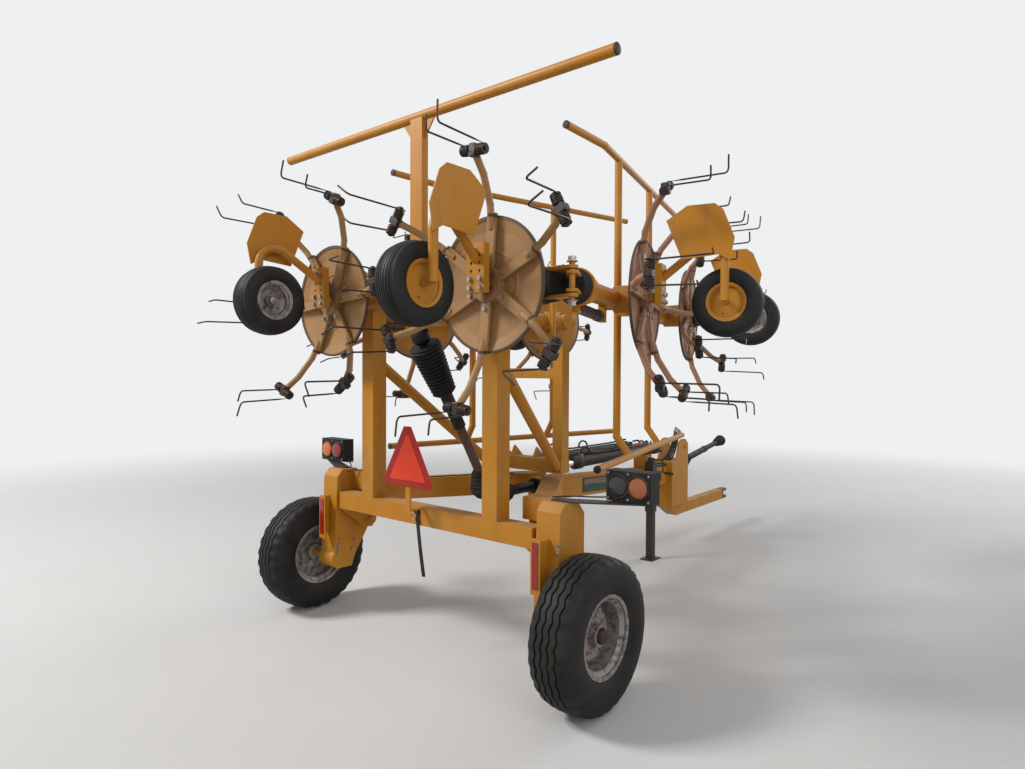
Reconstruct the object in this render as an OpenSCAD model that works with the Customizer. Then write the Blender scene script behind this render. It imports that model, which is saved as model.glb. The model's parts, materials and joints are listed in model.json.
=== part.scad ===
// Trailed hay tedder with six rotors, folded for transport on its two-wheel cart.
// Millimetres. X forward, Y left, Z up. The origin is on the ground, at the middle of the
// machine's length. Sizes below are measured from the transport axle, which is at axle_x.

/* [Transport wheels] */
// Outer diameter of a transport tyre
tyre_d = 770; // [700:10:820]
// Width of a transport tyre
tyre_w = 250; // [200:5:270]
// Diameter of the transport rim where the tyre sits
rim_d = 390; // [360:5:420]
// Distance between the middles of the two transport tyres
track = 2360; // [2340:10:2440]

/* [Cart] */
// Rear reach of the machine behind the axle
rear_reach = 870; // [870:1:870]
// Distance from the axle to the hitch pin
hitch_x = 4560; // [4460:10:4700]
// Height of the hitch pin's eye
hitch_z = 330; // [310:5:380]
// Diameter of the hitch pin's hole
hitch_bore = 32; // [25:1:40]
// Thickness of a wheel leg across the machine
leg_t = 150; // [120:5:155]
// Height of the cart's cross beam
beam_z = 925; // [925:1:940]
// Side of the square cross beam
beam_s = 125; // [100:5:125]
// Width of the drawbar box
drawbar_w = 120; // [100:5:140]
// Height of the drawbar box
drawbar_h = 165; // [150:5:175]
// Distance from the axle to the jack
jack_x = 2650; // [2450:10:2750]

/* [Lift frame] */
// Distance from the axle to the tilt pivot
pivot_x = 200; // [190:5:210]
// Height of the tilt pivot
pivot_z = 640; // [630:5:650]
// Diameter of the tilt pivot pins
pivot_d = 50; // [40:2:60]
// Distance of a rear post from the middle
post_y = 530; // [500:5:560]
// Side of a rear post
post_s = 110; // [90:5:112]
// Distance from the axle to the front cross member
front_x = 950; // [930:5:970]
// Half the spacing of the front posts
front_y = 320; // [300:5:340]

/* [Rotors] */
// Diameter of a rotor's disc
disc_d = 710; // [660:10:740]
// Distance between neighbouring rotor axes
rotor_pitch = 1348; // [1340:2:1360]
// Height of the rotor axes as parked
rotor_z = 2130; // [2110:5:2150]
// Distance of the disc rims behind the axle, as parked
disc_x = -185; // [-190:1:-180]
// Arms on each rotor
arms = 6; // [6:1:6]
// Radius of the tine coils' circle
coil_r = 640; // [620:5:650]
// Radius of the tine tips' circle
tip_r = 775; // [750:5:790]
// Depth of the coils under the disc
coil_drop = 190; // [170:5:210]
// Depth of the tine tips under the disc
tip_drop = 520; // [480:5:540]
// Thickness of the tine wire
tine_d = 10; // [8:0.5:12]

/* [Gauge wheels] */
// Outer diameter of a gauge tyre
gauge_d = 405; // [380:5:410]
// Width of a gauge tyre
gauge_w = 150; // [130:5:165]
// Diameter of the gauge rim where the tyre sits
gauge_rim_d = 204; // [190:2:220]
// Depth of the gauge axle under the disc
gauge_drop = 480; // [470:5:490]
// Distance of the gauge axle ahead of the rotor axis at work
gauge_lead = 40; // [30:5:50]
// Distance of the gauge wheel's middle from the rotor axis, away from its leg
gauge_in = 45; // [35:5:55]
// Diameter of the gooseneck tube
neck_d = 48; // [38:1:52]

/* [Wings] */
// Distance of a wing hinge from the middle
hinge_y = 1100; // [1095:1:1105]
// Place of a wing hinge ahead of the axle
hinge_x = -60; // [-62:1:-55]
// Angle of a wing as parked, from its spread place
fold = 104; // [100:1:105]
// Diameter of the round beams over the rotors
tube_d = 114; // [100:2:118]
// Diameter of the guard tubes
guard_d = 50; // [40:2:55]
// Height of the rear guard of a wing as parked
wing_guard_top = 3100; // [3080:5:3105]
// Height of the front guard of a wing as parked
wing_guard_low = 1120; // [1100:5:1150]
// Height of the middle rear guard as parked
guard_top = 3190; // [3185:5:3230]
// Half the length of the middle rear guard
guard_half = 1350; // [1250:10:1360]

/* [Hidden] */
axle_x = -(hitch_x + 40 - rear_reach) / 2;
axle_z = tyre_d / 2;
wheel_y = track / 2;
leg_gap = 45;
leg_y = wheel_y - tyre_w / 2 - leg_gap - leg_t;
rotor_y = rotor_pitch / 2;
hub_top = 30;
fit = 0.3;
axle_d = 60;
hub_bore = axle_d + 2 * fit;
disc_t = 6;
box_d = 170;
beam_x = 0;
beam_rise = beam_x - disc_x;
plate_drop = 78;
plate_t = 40;
leg_in = 118;
guard_bend = 90;
coupling_gap = 155;
coupling_l = 40;
coupling_d = 110;
ear_t = 16;
pin_d = 30;
arm_w = 56;
arm_t = 18;
arm_d = 38;
stub_d = 50;
side_x = 230;
side_h = 140;
drawbar_drop = 0.06;
drawbar_x = [1080, 3085];
head_w = 210;
tongue_h = 100;
tongue_w = 90;
jack_y = -drawbar_w / 2 - 52;
jack_s = 76;
jack_wall = 7;
jack_leg_s = jack_s - 2 * jack_wall - 2 * fit;
lamp_x = 300;
lamp_y = [1130, 1390];
lamp_z = 1010;
triangle_z = 1000;
lower_x0 = 25;
lower_z = 800;
strap_y = 50;
strap_l = 400;
strap_lean = 9;
shaft_z = 850;
u_x = 580;
ball_d = 120;
box_low = [-50, 0, 1890];
shaft_low = [u_x, 0, shaft_z];
shaft_v = box_low - shaft_low;
shaft_l = norm(shaft_v);
boot_top = shaft_l - ball_d / 2 - fit;
arm_y = leg_y - 30;
lug_x = front_x + 120;
lug_z = 1000;
cyl_x = 2700;
cyl_z = 1000;
cyl_y = 150;
cyl_d = 80;
rod_d = 45;
cyl_end = [cyl_x, cyl_y, cyl_z];
cyl_v = [lug_x, cyl_y, lug_z] - cyl_end;
cyl_l = norm(cyl_v);
coil_turns = 4;
coil_d = 58;
coil_y = 22;
yellow = "goldenrod";
steel = "dimgray";
rubber = "#202020";

// Columns: distance of the rotor from the middle, phase on the right, phase on the left,
// side of its gauge wheel's leg (1 is towards the middle of the machine)
ROTORS = [
    [rotor_y, 5, 35, -1],
    [rotor_y + rotor_pitch, 35, 5, 1],
    [rotor_y + 2 * rotor_pitch, 5, 35, -1],
];

// General helpers

module rod(a, b, d) {
    v = b - a;
    translate(a) rotate([0, acos(v[2] / norm(v)), atan2(v[1], v[0])]) cylinder(h = norm(v), d = d, $fn = 48);
}

module run(points, d) {
    for (i = [0 : len(points) - 2]) rod(points[i], points[i + 1], d);
    for (i = [1 : len(points) - 2]) translate(points[i]) sphere(d = d * 1.05, $fn = 48);
}

module both() {
    children();
    mirror([0, 1, 0]) children();
}

module on_side(left) {
    if (left) mirror([0, 1, 0]) children();
    else children();
}

// A flat outline in X and Z, given thickness along Y from y
module side_plate(y, t, points) {
    translate([0, y + t, 0]) rotate([90, 0, 0]) linear_extrude(t) polygon(points);
}

module across(x, y, z, l, d) {
    translate([x, y, z]) rotate([-90, 0, 0]) cylinder(h = l, d = d, $fn = 64);
}

module block(x, y, z) {
    translate([x[0], y[0], z[0]]) cube([x[1] - x[0], y[1] - y[0], z[1] - z[0]]);
}

// Place of a rotor: its work frame stands on edge as parked, underside to the rear
module at_rotor(i) {
    translate([disc_x, -ROTORS[i][0], rotor_z]) rotate([0, 90, 0]) children();
}

// Turns a spread wing about its hinge to its parked place
module folded() {
    translate([hinge_x, -hinge_y, 0]) rotate([0, 0, fold]) translate([-hinge_x, hinge_y, 0]) children();
}

module on_wing(left) {
    on_side(left) folded() children();
}

module on_rotor(i, left) {
    on_side(left) {
        if (i == 0) at_rotor(i) children();
        else folded() at_rotor(i) children();
    }
}

// Wheels

module tyre(d, w, bore, ribs) {
    r = d / 2;
    b = bore / 2;
    rib_w = w * 0.72 / (2 * ribs - 1);
    tread = [for (i = [0 : 2 * ribs - 2]) each [
        [r - (i % 2) * 7, -w * 0.36 + i * rib_w],
        [r - (i % 2) * 7, -w * 0.36 + (i + 1) * rib_w],
    ]];
    side = (r - b);
    rotate([90, 0, 0]) rotate_extrude($fn = 96) polygon(concat(
        [[b, -w * 0.36], [b + 14, -w * 0.36], [b + 16, -w * 0.36 - 14], [b + side * 0.35, -w * 0.485]],
        [[b + side * 0.55, -w * 0.5], [b + side * 0.88, -w * 0.44]],
        tread,
        [[b + side * 0.88, w * 0.44], [b + side * 0.55, w * 0.5]],
        [[b + side * 0.35, w * 0.485], [b + 16, w * 0.36 + 14], [b + 14, w * 0.36], [b, w * 0.36]]
    ));
}

// Rim with its outer side towards -Y. dish is the place of the disc from the middle, outwards.
module rim(d, w, bore, hub_d, dish, hub_l) {
    r = d / 2;
    rotate([90, 0, 0]) rotate_extrude($fn = 96) polygon([
        [bore / 2, dish - hub_l / 2], [hub_d / 2, dish - hub_l / 2], [hub_d / 2, dish - 5],
        [r * 0.62, dish - 5], [r * 0.86, -w * 0.12], [r * 0.86, -w * 0.28], [r - 6, -w * 0.36 + 4],
        [r - 6, -w * 0.36 - 8], [r + 12, -w * 0.36 - 12], [r + 12, -w * 0.36 - 2 * fit], [r - fit, -w * 0.36 - 2 * fit],
        [r - fit, -w * 0.3], [r * 0.9, -w * 0.26], [r * 0.9, w * 0.26], [r - fit, w * 0.3],
        [r - fit, w * 0.36 + 2 * fit], [r + 12, w * 0.36 + 2 * fit], [r + 12, w * 0.36 + 12], [r - 6, w * 0.36 + 8],
        [r - 6, w * 0.36 - 4], [r * 0.86, w * 0.28], [r * 0.86, -w * 0.08], [r * 0.64, dish + 5],
        [hub_d / 2, dish + 5], [hub_d / 2, dish + hub_l / 2], [bore / 2, dish + hub_l / 2],
    ]);
}

module transport_tyre(left) {
    color(rubber) on_side(left) translate([0, -wheel_y, axle_z]) tyre(tyre_d, tyre_w, rim_d, 5);
}

module transport_rim(left) {
    color("silver") on_side(left) translate([0, -wheel_y, axle_z])
        rim(rim_d, tyre_w, stub_d + 2, 110, 15, 100);
}

// Cart

module wheel_leg() {
    side_plate(-leg_y - leg_t, leg_t, [
        [-45, 440], [-20, 370], [30, 320], [100, 320], [130, 400], [235, 560], [255, 680],
        [200, 720], [200, 930], [140, 1000], [20, 1000], [-20, 955],
    ]);
    across(0, -leg_y - leg_t, axle_z, leg_t, 130);
    across(0, -wheel_y - 20, axle_z, wheel_y + 20 - leg_y - leg_t + 1, stub_d);
    block([-106, -20], [-leg_y - 86, -leg_y - 80], [560, 820]);
    block([-106, -100], [-leg_y - 86, -leg_y - 24], [540, 830]);
}

// Beam from a wheel leg forward and inward to the drawbar
module side_beam() {
    inner = -leg_y + 200;
    front = drawbar_x[0];
    block([side_x - 120, side_x], [-leg_y - 1, inner], [beam_z - beam_s / 2, beam_z + beam_s / 2]);
    translate([0, 0, beam_z + 5 - side_h]) linear_extrude(side_h) polygon([
        [side_x - 60, inner - side_h], [side_x - 60, inner], [front, -drawbar_w / 2 - 20], [front, -drawbar_w / 2],
        [front + 220, -drawbar_w / 2], [front + 220, -drawbar_w / 2 - 40],
    ]);
}

module cart_frame() {
    color(yellow) difference() {
        union() {
            both() {
                wheel_leg();
                side_beam();
            }
        }
        both() across(pivot_x, -leg_y - 60, pivot_z, 100, pivot_d + 1);
    }
}

function drawbar_top(x) = 905 - (x - drawbar_x[0]) * drawbar_drop;

module drawbar() {
    color(yellow) difference() {
        union() {
            block([cyl_x - 60, cyl_x + 60], [-drawbar_w / 2, drawbar_w / 2], [drawbar_top(cyl_x) - 20, cyl_z + 30]);
            across(cyl_x, -cyl_y - 35, cyl_z, 2 * cyl_y + 70, pin_d);
            side_plate(-drawbar_w / 2, drawbar_w, [
                [drawbar_x[0], drawbar_top(drawbar_x[0])], [drawbar_x[1], drawbar_top(drawbar_x[1])],
                [drawbar_x[1], drawbar_top(drawbar_x[1]) - drawbar_h],
                [drawbar_x[0], drawbar_top(drawbar_x[0]) - drawbar_h],
            ]);
        }
        translate([drawbar_x[0] - 1, 0, shaft_z]) rotate([0, 90, 0]) cylinder(h = 120, d = 90, $fn = 48);
    }
}

// Blank coloured panels on the drawbar's sides
module side_panels() {
    color("darkslategray") both() side_plate(-drawbar_w / 2 - 2, 2, [
        [1620, drawbar_top(1620) - 25], [2950, drawbar_top(2950) - 25],
        [2950, drawbar_top(2950) - 140], [1620, drawbar_top(1620) - 140],
    ]);
}

module headstock() {
    color(yellow) difference() {
        union() {
            block([drawbar_x[1], 3430], [-head_w / 2, head_w / 2], [400, 830]);
            side_plate(-60, 120, [[drawbar_x[1], 400], [3430, 400], [3430, 300], [3300, 280]]);
            both() side_plate(-head_w / 2, 20, [
                [3180, 829], [3240, 1000], [3290, 1030], [3370, 1030], [3430, 980], [3430, 829],
            ]);
            block([3300, hitch_x - 110], [-tongue_w / 2, tongue_w / 2], [hitch_z - tongue_h / 2, hitch_z + tongue_h / 2]);
        }
        across(3350, -head_w, 950, 2 * head_w, 40);
    }
}

module hitch_clevis() {
    color(steel) difference() {
        union() {
            block([hitch_x - 110, hitch_x - 80], [-tongue_w / 2, tongue_w / 2], [hitch_z - tongue_h / 2, hitch_z + tongue_h / 2]);
            for (z = [hitch_z - tongue_h / 2, hitch_z + tongue_h / 2 - 22]) translate([0, 0, z]) linear_extrude(22) {
                translate([hitch_x, 0]) circle(d = 80, $fn = 64);
                translate([hitch_x - 81, -tongue_w / 2 + 5]) square([81, tongue_w - 10]);
            }
        }
        translate([hitch_x, 0, hitch_z - tongue_h]) cylinder(h = 2 * tongue_h, d = hitch_bore, $fn = 64);
    }
}

module jack_housing() {
    color(steel) difference() {
        union() {
            block([jack_x - jack_s / 2, jack_x + jack_s / 2], [jack_y - jack_s / 2, jack_y + jack_s / 2], [430, 880]);
            block([jack_x - 60, jack_x + 60], [jack_y + jack_s / 2 - 1, -drawbar_w / 2 - 2], [680, 780]);
            translate([jack_x, jack_y, 879]) cylinder(h = 34, d = 60, $fn = 48);
            translate([jack_x, jack_y - 110, 900]) rotate([-90, 0, 0]) cylinder(h = 90, d = 14, $fn = 32);
        }
        translate([jack_x, jack_y, 420]) linear_extrude(452) square(jack_s - 2 * jack_wall, center = true);
    }
}

module jack_leg() {
    s = jack_leg_s / 2;
    color(steel) union() {
        block([jack_x - s, jack_x + s], [jack_y - s, jack_y + s], [8, 520]);
        block([jack_x - 80, jack_x + 80], [jack_y - 60, jack_y + 60], [0, 10]);
    }
}

module lamp_arms() {
    color(steel) both() union() {
        translate([0, 0, 1000]) linear_extrude(8) polygon([
            [60, -leg_y - 30], [60, -leg_y - leg_t], [lamp_x - 30, -lamp_y[1]], [lamp_x + 20, -lamp_y[1]],
            [lamp_x + 20, -lamp_y[1] + 40], [120, -leg_y - 60], [120, -leg_y - 30],
        ]);
        block([lamp_x - 30, lamp_x + 20], [-lamp_y[1], -lamp_y[0]], [1000, lamp_z]);
    }
}

module lamps() {
    color(rubber) both() side_box();
}

module side_box() {
    difference() {
        block([lamp_x - 75, lamp_x + 20], [-lamp_y[1], -lamp_y[0]], [lamp_z, lamp_z + 160]);
        for (y = [lamp_y[0] + 70, lamp_y[1] - 70]) translate([lamp_x - 76, -y, lamp_z + 80])
            rotate([0, 90, 0]) cylinder(h = 21, d = 112, $fn = 64);
    }
}

module lamp_lenses() {
    color("darkorange") both() for (y = [lamp_y[0] + 70, lamp_y[1] - 70]) translate([lamp_x - 80, -y, lamp_z + 80])
        rotate([0, 90, 0]) cylinder(h = 25 - fit, d = 110, $fn = 64);
}

module side_reflectors() {
    color("firebrick") both() block([-109, -106], [-leg_y - 75, -leg_y - 35], [570, 810]);
}

module warning_triangle() {
    color("orangered") union() {
        translate([-150, 0, triangle_z]) rotate([90, 0, -90]) linear_extrude(4) polygon([
            [-205, 20], [-205, 45], [-30, 356], [30, 356], [205, 45], [205, 20], [190, 0], [-190, 0],
        ]);
        block([-150, -140], [-20, 20], [lower_z + 55, triangle_z + 120]);
        block([-150, -lower_x0], [-20, 20], [lower_z + 55, lower_z + 65]);
    }
}

// Tie-down strap that hangs from the lower cross tube

module hanging_strap() {
    color(rubber) translate([-lower_x0 - 9, strap_y, lower_z + 36]) rotate([-strap_lean, 0, 0])
        translate([0, -14, -strap_l]) cube([4, 28, strap_l]);
}

// Shackle that the strap hangs from, round the lower cross tube's rear side
module strap_shackle() {
    color(steel) union() {
        block([-lower_x0 - 5, -lower_x0], [strap_y - 22, strap_y + 22], [lower_z + 10, lower_z + 40]);
        block([-lower_x0 - 14, -lower_x0 - 9], [strap_y - 18, strap_y + 18], [lower_z + 12, lower_z + 38]);
    }
}

// Drive line

// Shaft from the rear joint into the drawbar, in a bearing flange on the drawbar's end
module input_shaft() {
    x0 = u_x + ball_d / 2 + fit;
    color(rubber) union() {
        translate([x0, 0, shaft_z]) rotate([0, 90, 0]) cylinder(h = drawbar_x[0] + 100 - x0, d = 70, $fn = 48);
        translate([drawbar_x[0] - 16, 0, shaft_z]) rotate([0, 90, 0]) cylinder(h = 16, d = 108, $fn = 48);
    }
}

module pto_shaft() {
    color(rubber) union() {
        rod([3430, 0, 755], [3520, 0, 755], 50);
        rod([3500, 0, 765], [3640, 0, 812], 130);
        rod([3600, 0, 800], [4420, 0, 915], 58);
        rod([4360, 0, 906], [4500, 0, 926], 120);
    }
}

// The tilt shaft runs from the rear joint up to the middle gear housing and telescopes
function on_shaft(t) = shaft_low + shaft_v * t / shaft_l;

module tilt_shaft_lower() {
    color(steel) union() {
        translate(shaft_low) sphere(d = ball_d, $fn = 64);
        across(u_x, -ball_d / 2 - 8, shaft_z, ball_d + 16, 40);
        rod(on_shaft(20), on_shaft(120), 90);
        rod(on_shaft(60), on_shaft(boot_top - 50), 60);
    }
}

module tilt_shaft_upper() {
    color(rubber) difference() {
        union() {
            rod(on_shaft(560), on_shaft(boot_top), 80);
            for (k = [0 : 8]) rod(on_shaft(boot_top - 340 + k * 38), on_shaft(boot_top - 314 + k * 38), 120 + k * 6);
            rod(on_shaft(boot_top - 330), on_shaft(boot_top), 112);
        }
        rod(on_shaft(540), on_shaft(boot_top - 40), 64);
    }
}

// Lift frame

module lift_bracket() {
    side_plate(-arm_y, 40, [
        [-lower_x0, lower_z + 55], [85, lower_z + 55], [250, 700], [262, 640], [225, 585], [165, 590], [-lower_x0, lower_z - 55],
    ]);
    across(pivot_x, -leg_y - 50, pivot_z, leg_y + 50 - arm_y + 80, pivot_d);
}

module lift_frame() {
    px = [-lower_x0, -lower_x0 + post_s];
    color(yellow) difference() {
        union() {
            block([-lower_x0, -lower_x0 + 110], [-arm_y + 1, arm_y - 1], [lower_z - 55, lower_z + 55]);
            both() {
                lift_bracket();
                block(px, [-post_y - post_s / 2, -post_y + post_s / 2], [lower_z, rotor_z]);
                brace();
            }
            block([front_x - 50, front_x + 50], [-front_y - 40, front_y + 40], [990, 1080]);
            for (y = [-200, -100, 100, 200]) cylinder_lug(y);
        }
        across(beam_x, -1000, rotor_z, 2000, tube_d);
    }
}

module brace() {
    a = [60, -post_y, 1740];
    b = [front_x - 50, -front_y, 1035];
    run([a, b], 70);
}

module cylinder_lug(y) {
    difference() {
        side_plate(y - 8, 16, [
            [front_x - 20, 1079], [front_x + 40, 1000], [lug_x + 30, lug_z - 40], [lug_x + 45, lug_z],
            [lug_x + 10, lug_z + 50], [front_x + 20, 1150],
        ]);
        across(lug_x, y - 20, lug_z, 40, 32);
    }
}

module front_rest() {
    color(yellow) union() {
        both() block([front_x - 40, front_x + 40], [-front_y - 40, -front_y + 40], [1080, 1850]);
        block([front_x - 35, front_x + 35], [-front_y, front_y], [1635, 1705]);
    }
}

function on_cyl(t) = cyl_end + cyl_v * t / cyl_l;

module cylinder_barrels() {
    color(rubber) both() difference() {
        union() {
            rod(on_cyl(30), on_cyl(cyl_l - 300), cyl_d);
            rod(on_cyl(cyl_l - 340), on_cyl(cyl_l - 290), cyl_d + 12);
            across(cyl_x, cyl_y - 28, cyl_z, 56, 74);
        }
        rod(on_cyl(120), on_cyl(cyl_l - 200), rod_d + 2 * fit);
        across(cyl_x, cyl_y - 60, cyl_z, 120, pin_d + 1);
    }
}

module cylinder_rods() {
    color("silver") both() difference() {
        union() {
            rod(on_cyl(140), on_cyl(cyl_l - 25), rod_d);
            across(lug_x, cyl_y - 30, lug_z, 60, 64);
        }
        across(lug_x, cyl_y - 60, lug_z, 120, 31);
    }
}

// Beams over the rotors

// Gear housing and fixed axle of one rotor, in the rotor's work frame
module rotor_stem() {
    translate([0, 0, hub_top + 5]) cylinder(h = beam_rise - hub_top - 5, d = box_d, $fn = 64);
    translate([0, 0, beam_rise - 30]) cylinder(h = 95, d = box_d * 0.75, $fn = 64);
    translate([0, 0, -plate_drop]) cylinder(h = beam_rise + plate_drop, d = axle_d, $fn = 64);
}

module beam_ears(y0, y1, z, bore) {
    for (s = [-1, 1]) translate([0, 0, rotor_z + s * z - ear_t / 2]) linear_extrude(ear_t) difference() {
        union() {
            polygon([[beam_x - 45, y0], [beam_x + 45, y0], [hinge_x + 30, y1], [hinge_x - 30, y1]]);
            translate([hinge_x, y1]) circle(d = 62, $fn = 48);
        }
        if (bore > 0) translate([hinge_x, y1]) circle(d = bore, $fn = 48);
    }
}

// Toothed half of the drive coupling at a wing hinge, pointing along Z
module coupling_half() {
    cylinder(h = coupling_l - 18, d = coupling_d, $fn = 64);
    for (k = [0 : 5]) rotate([0, 0, 60 * k]) translate([coupling_d / 2 - 30, -11, 0]) cube([26, 22, coupling_l]);
}

module centre_beam() {
    end = hinge_y - coupling_gap - coupling_l;
    color(yellow) union() {
        across(beam_x, -end, rotor_z, 2 * end, tube_d);
        both() {
            at_rotor(0) rotor_stem();
            across(beam_x, -end, rotor_z, 30, 170);
            beam_ears(-end, -hinge_y, 70, pin_d + 1);
            translate([beam_x, -end, rotor_z]) rotate([90, 0, 0]) coupling_half();
        }
        block([-90, 80], [-95, 95], [1960, 2220]);
        translate(box_low) sphere(d = ball_d, $fn = 64);
        rod(box_low, box_low + [0, 0, 75], 80);
    }
}

module rear_guard() {
    color(yellow) union() {
        block([-90, -40], [-50, 50], [2220, guard_top - 10]);
        across(-65, -guard_half, guard_top, 2 * guard_half, guard_d + 8);
        translate([-70, 0, 0]) rotate([90, 0, 90]) linear_extrude(10)
            polygon([[-49, guard_top - 140], [49, guard_top - 140], [150, guard_top - 5], [-150, guard_top - 5]]);
    }
}

module wing_beam(left) {
    start = hinge_y + coupling_gap + coupling_l;
    end = ROTORS[2][0] + 95;
    color(yellow) on_wing(left) union() {
        across(beam_x, -end, rotor_z, end - start, tube_d);
        across(beam_x, -start - 30, rotor_z, 30, 170);
        beam_ears(-start, -hinge_y, 45, 0);
        translate([beam_x, -start, rotor_z]) rotate([-90, 0, 0]) coupling_half();
        translate([beam_x, -start - 30, rotor_z]) rotate([90, 0, 0]) cylinder(h = 90, d1 = 166, d2 = tube_d, $fn = 64);
        for (i = [1, 2]) at_rotor(i) rotor_stem();
        translate([hinge_x, -hinge_y, rotor_z - 95]) cylinder(h = 190, d = pin_d, $fn = 48);
    }
}

// Guard of one wing: a front and a rear bar joined by tubes that cross over the beam.
// The rear bar bends up at its inner end, and the tubes bend down to the front bar.
module wing_guard(left) {
    x = beam_x + tube_d / 2 + guard_d / 2;
    y0 = ROTORS[1][0] - 415;
    y1 = ROTORS[2][0] + 700;
    bar_d = guard_d * 0.9;
    color(yellow) on_wing(left) union() {
        run([[x + guard_bend, -y0, wing_guard_top], [x, -y0 - 440, wing_guard_top], [x, -y1, wing_guard_top]], bar_d);
        across(x - guard_bend, -y1, wing_guard_low, y1 - y0 - 65, bar_d);
        for (y = [ROTORS[1][0] + 330, ROTORS[2][0] - 190]) {
            run([[x, -y, wing_guard_top], [x, -y, wing_guard_low + 130], [x - guard_bend, -y, wing_guard_low]], guard_d);
            difference() {
                block([beam_x, x], [-y - 30, -y + 30], [rotor_z - 75, rotor_z + 75]);
                across(beam_x, -y - 40, rotor_z, 80, tube_d);
            }
        }
    }
}

// Rotor parts, in the work frame

module disc() {
    r = disc_d / 2;
    rotate_extrude($fn = 128) polygon([
        [hub_bore / 2, -40], [90, -40], [90, 10], [150, 10], [r * 0.8, 4], [r - 14, -8], [r - 14, -14], [r, -14],
        [r, 2], [r - 20, 2], [r * 0.8, 4 + disc_t + 4], [150, 10 + disc_t + 4], [100, hub_top - 4],
        [100, hub_top], [hub_bore / 2, hub_top],
    ]);
}

// A flat bar from the hub to the rim, then a round tube that bends down to the coils
module arm() {
    r = disc_d / 2;
    translate([84, -arm_w / 2, -12 - arm_t]) cube([r - 74, arm_w, arm_t]);
    run([
        [r - 70, 0, -12 - arm_t / 2], [r + 50, 0, -44],
        [(r + 50 + coil_r) / 2 + 20, 0, -44 - (coil_drop - 44) * 0.45], [coil_r, 0, -coil_drop],
    ], arm_d);
}

module rotor(i, left) {
    phase = ROTORS[i][left ? 2 : 1];
    color(yellow) on_rotor(i, left) union() {
        disc();
        for (k = [0 : arms - 1]) rotate([0, 0, phase + 360 / arms * k]) arm();
    }
}

module coil() {
    r = coil_d / 2;
    pitch = tine_d + 1;
    rotate([90, 0, 0]) rotate_extrude($fn = 48) polygon(concat(
        [[r - tine_d, 0], for (k = [0 : coil_turns - 1]) each [
            [r - 3, k * pitch], [r, (k + 0.35) * pitch], [r, (k + 0.65) * pitch], [r - 3, (k + 1) * pitch],
        ]],
        [[r - tine_d, coil_turns * pitch]]
    ));
}

// A pair of sprung tines on one arm: two coils on a bolt across the arm, and two hooked legs
module tine_pair() {
    span = coil_turns * (tine_d + 1);
    reach = tip_r - coil_r - coil_d / 2;
    fall = tip_drop - coil_drop;
    for (s = [-1, 1]) {
        translate([coil_r, s * coil_y + (s > 0 ? span : 0), -coil_drop]) coil();
        y = s * (coil_y + span - tine_d / 2);
        l = s > 0 ? 1 : 0.78;
        a = [coil_r + coil_d / 2 - tine_d / 2, y, -coil_drop];
        run([a, a + [reach * l * 0.6, s * 8, -fall * l * 0.84], a + [reach * l, s * 8, -fall * l]], tine_d);
    }
    across(coil_r, -coil_y - span - 8, -coil_drop, 2 * (coil_y + span + 8), coil_d - 2 * tine_d);
}

module tines(i, left) {
    phase = ROTORS[i][left ? 2 : 1];
    color(steel) on_rotor(i, left) for (k = [0 : arms - 1]) rotate([0, 0, phase + 360 / arms * k]) difference() {
        tine_pair();
        arm();
    }
}

// Gauge wheels, in the work frame. s is the side of the leg: 1 is left.

// The leg's tube runs back from the wheel's axle, bends round and leans up to the hub plate
module gooseneck(s) {
    lean = atan2(leg_in - gauge_in, gauge_drop - plate_drop - plate_t);
    turn = 125;
    bend_r = 100;
    back = 230;
    lap = 6;
    foot = s * (leg_in - gauge_in);
    translate([gauge_lead, foot, -gauge_drop]) rotate([s * lean, 0, 0]) {
        translate([-back - lap, 0, 0]) rotate([0, 90, 0]) cylinder(h = back + lap, d = neck_d, $fn = 48);
        translate([-back, 0, bend_r]) rotate([-90, 0, 0]) rotate([0, 0, 90])
            rotate_extrude(angle = turn, $fn = 96) translate([bend_r, 0]) circle(d = neck_d + 0.8, $fn = 48);
        translate([-back - bend_r * sin(turn), 0, bend_r - bend_r * cos(turn)]) rotate([0, turn - 90, 0])
            translate([0, 0, -lap]) cylinder(h = 268 + lap, d = neck_d, $fn = 48);
    }
    across(gauge_lead, min(foot, -s * gauge_in - s * 40), -gauge_drop, leg_in + 40, 30);
}

module hub_plate() {
    difference() {
        translate([-200, -60, -plate_drop - plate_t]) cube([250, 120, plate_t]);
        for (x = [-60, -100, -140], y = [-28, 28]) translate([x, y, -plate_drop - plate_t - 1])
            cylinder(h = 20, d = 16, $fn = 32);
    }
}

// Flat guard plate beside a gauge wheel, on two lugs that stand on the leg's tube
module shield(s) {
    y = leg_in - gauge_in + 30;
    translate([gauge_lead, 0, -gauge_drop]) on_side(s > 0) {
        side_plate(-y - 6, 6, [
            [-244, 236], [-474, 327], [-551, 207], [-551, 54], [-512, 6], [-350, -57], [-225, -33], [-260, 30],
        ]);
        block([-300, -260], [-y - 1, -y + 32], [-2, 26]);
        block([-328, -304], [-y - 1, -y + 62], [120, 160]);
    }
}

module gauge_leg(i) {
    s = ROTORS[i][3];
    gooseneck(s);
    hub_plate();
    shield(s);
}

module gauge_legs_centre() {
    color(yellow) both() at_rotor(0) gauge_leg(0);
}

module gauge_legs_wing(left) {
    color(yellow) on_wing(left) for (i = [1, 2]) at_rotor(i) gauge_leg(i);
}

module gauge_place(i, left) {
    s = ROTORS[i][3];
    on_rotor(i, left) translate([gauge_lead, -s * gauge_in, -gauge_drop]) rotate([0, 0, s > 0 ? 180 : 0]) children();
}

module gauge_tyre(i, left) {
    color(rubber) gauge_place(i, left) tyre(gauge_d, gauge_w, gauge_rim_d, 4);
}

module gauge_rim(i, left) {
    color(yellow) gauge_place(i, left) rim(gauge_rim_d, gauge_w, 32, 64, 10, 60);
}

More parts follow.
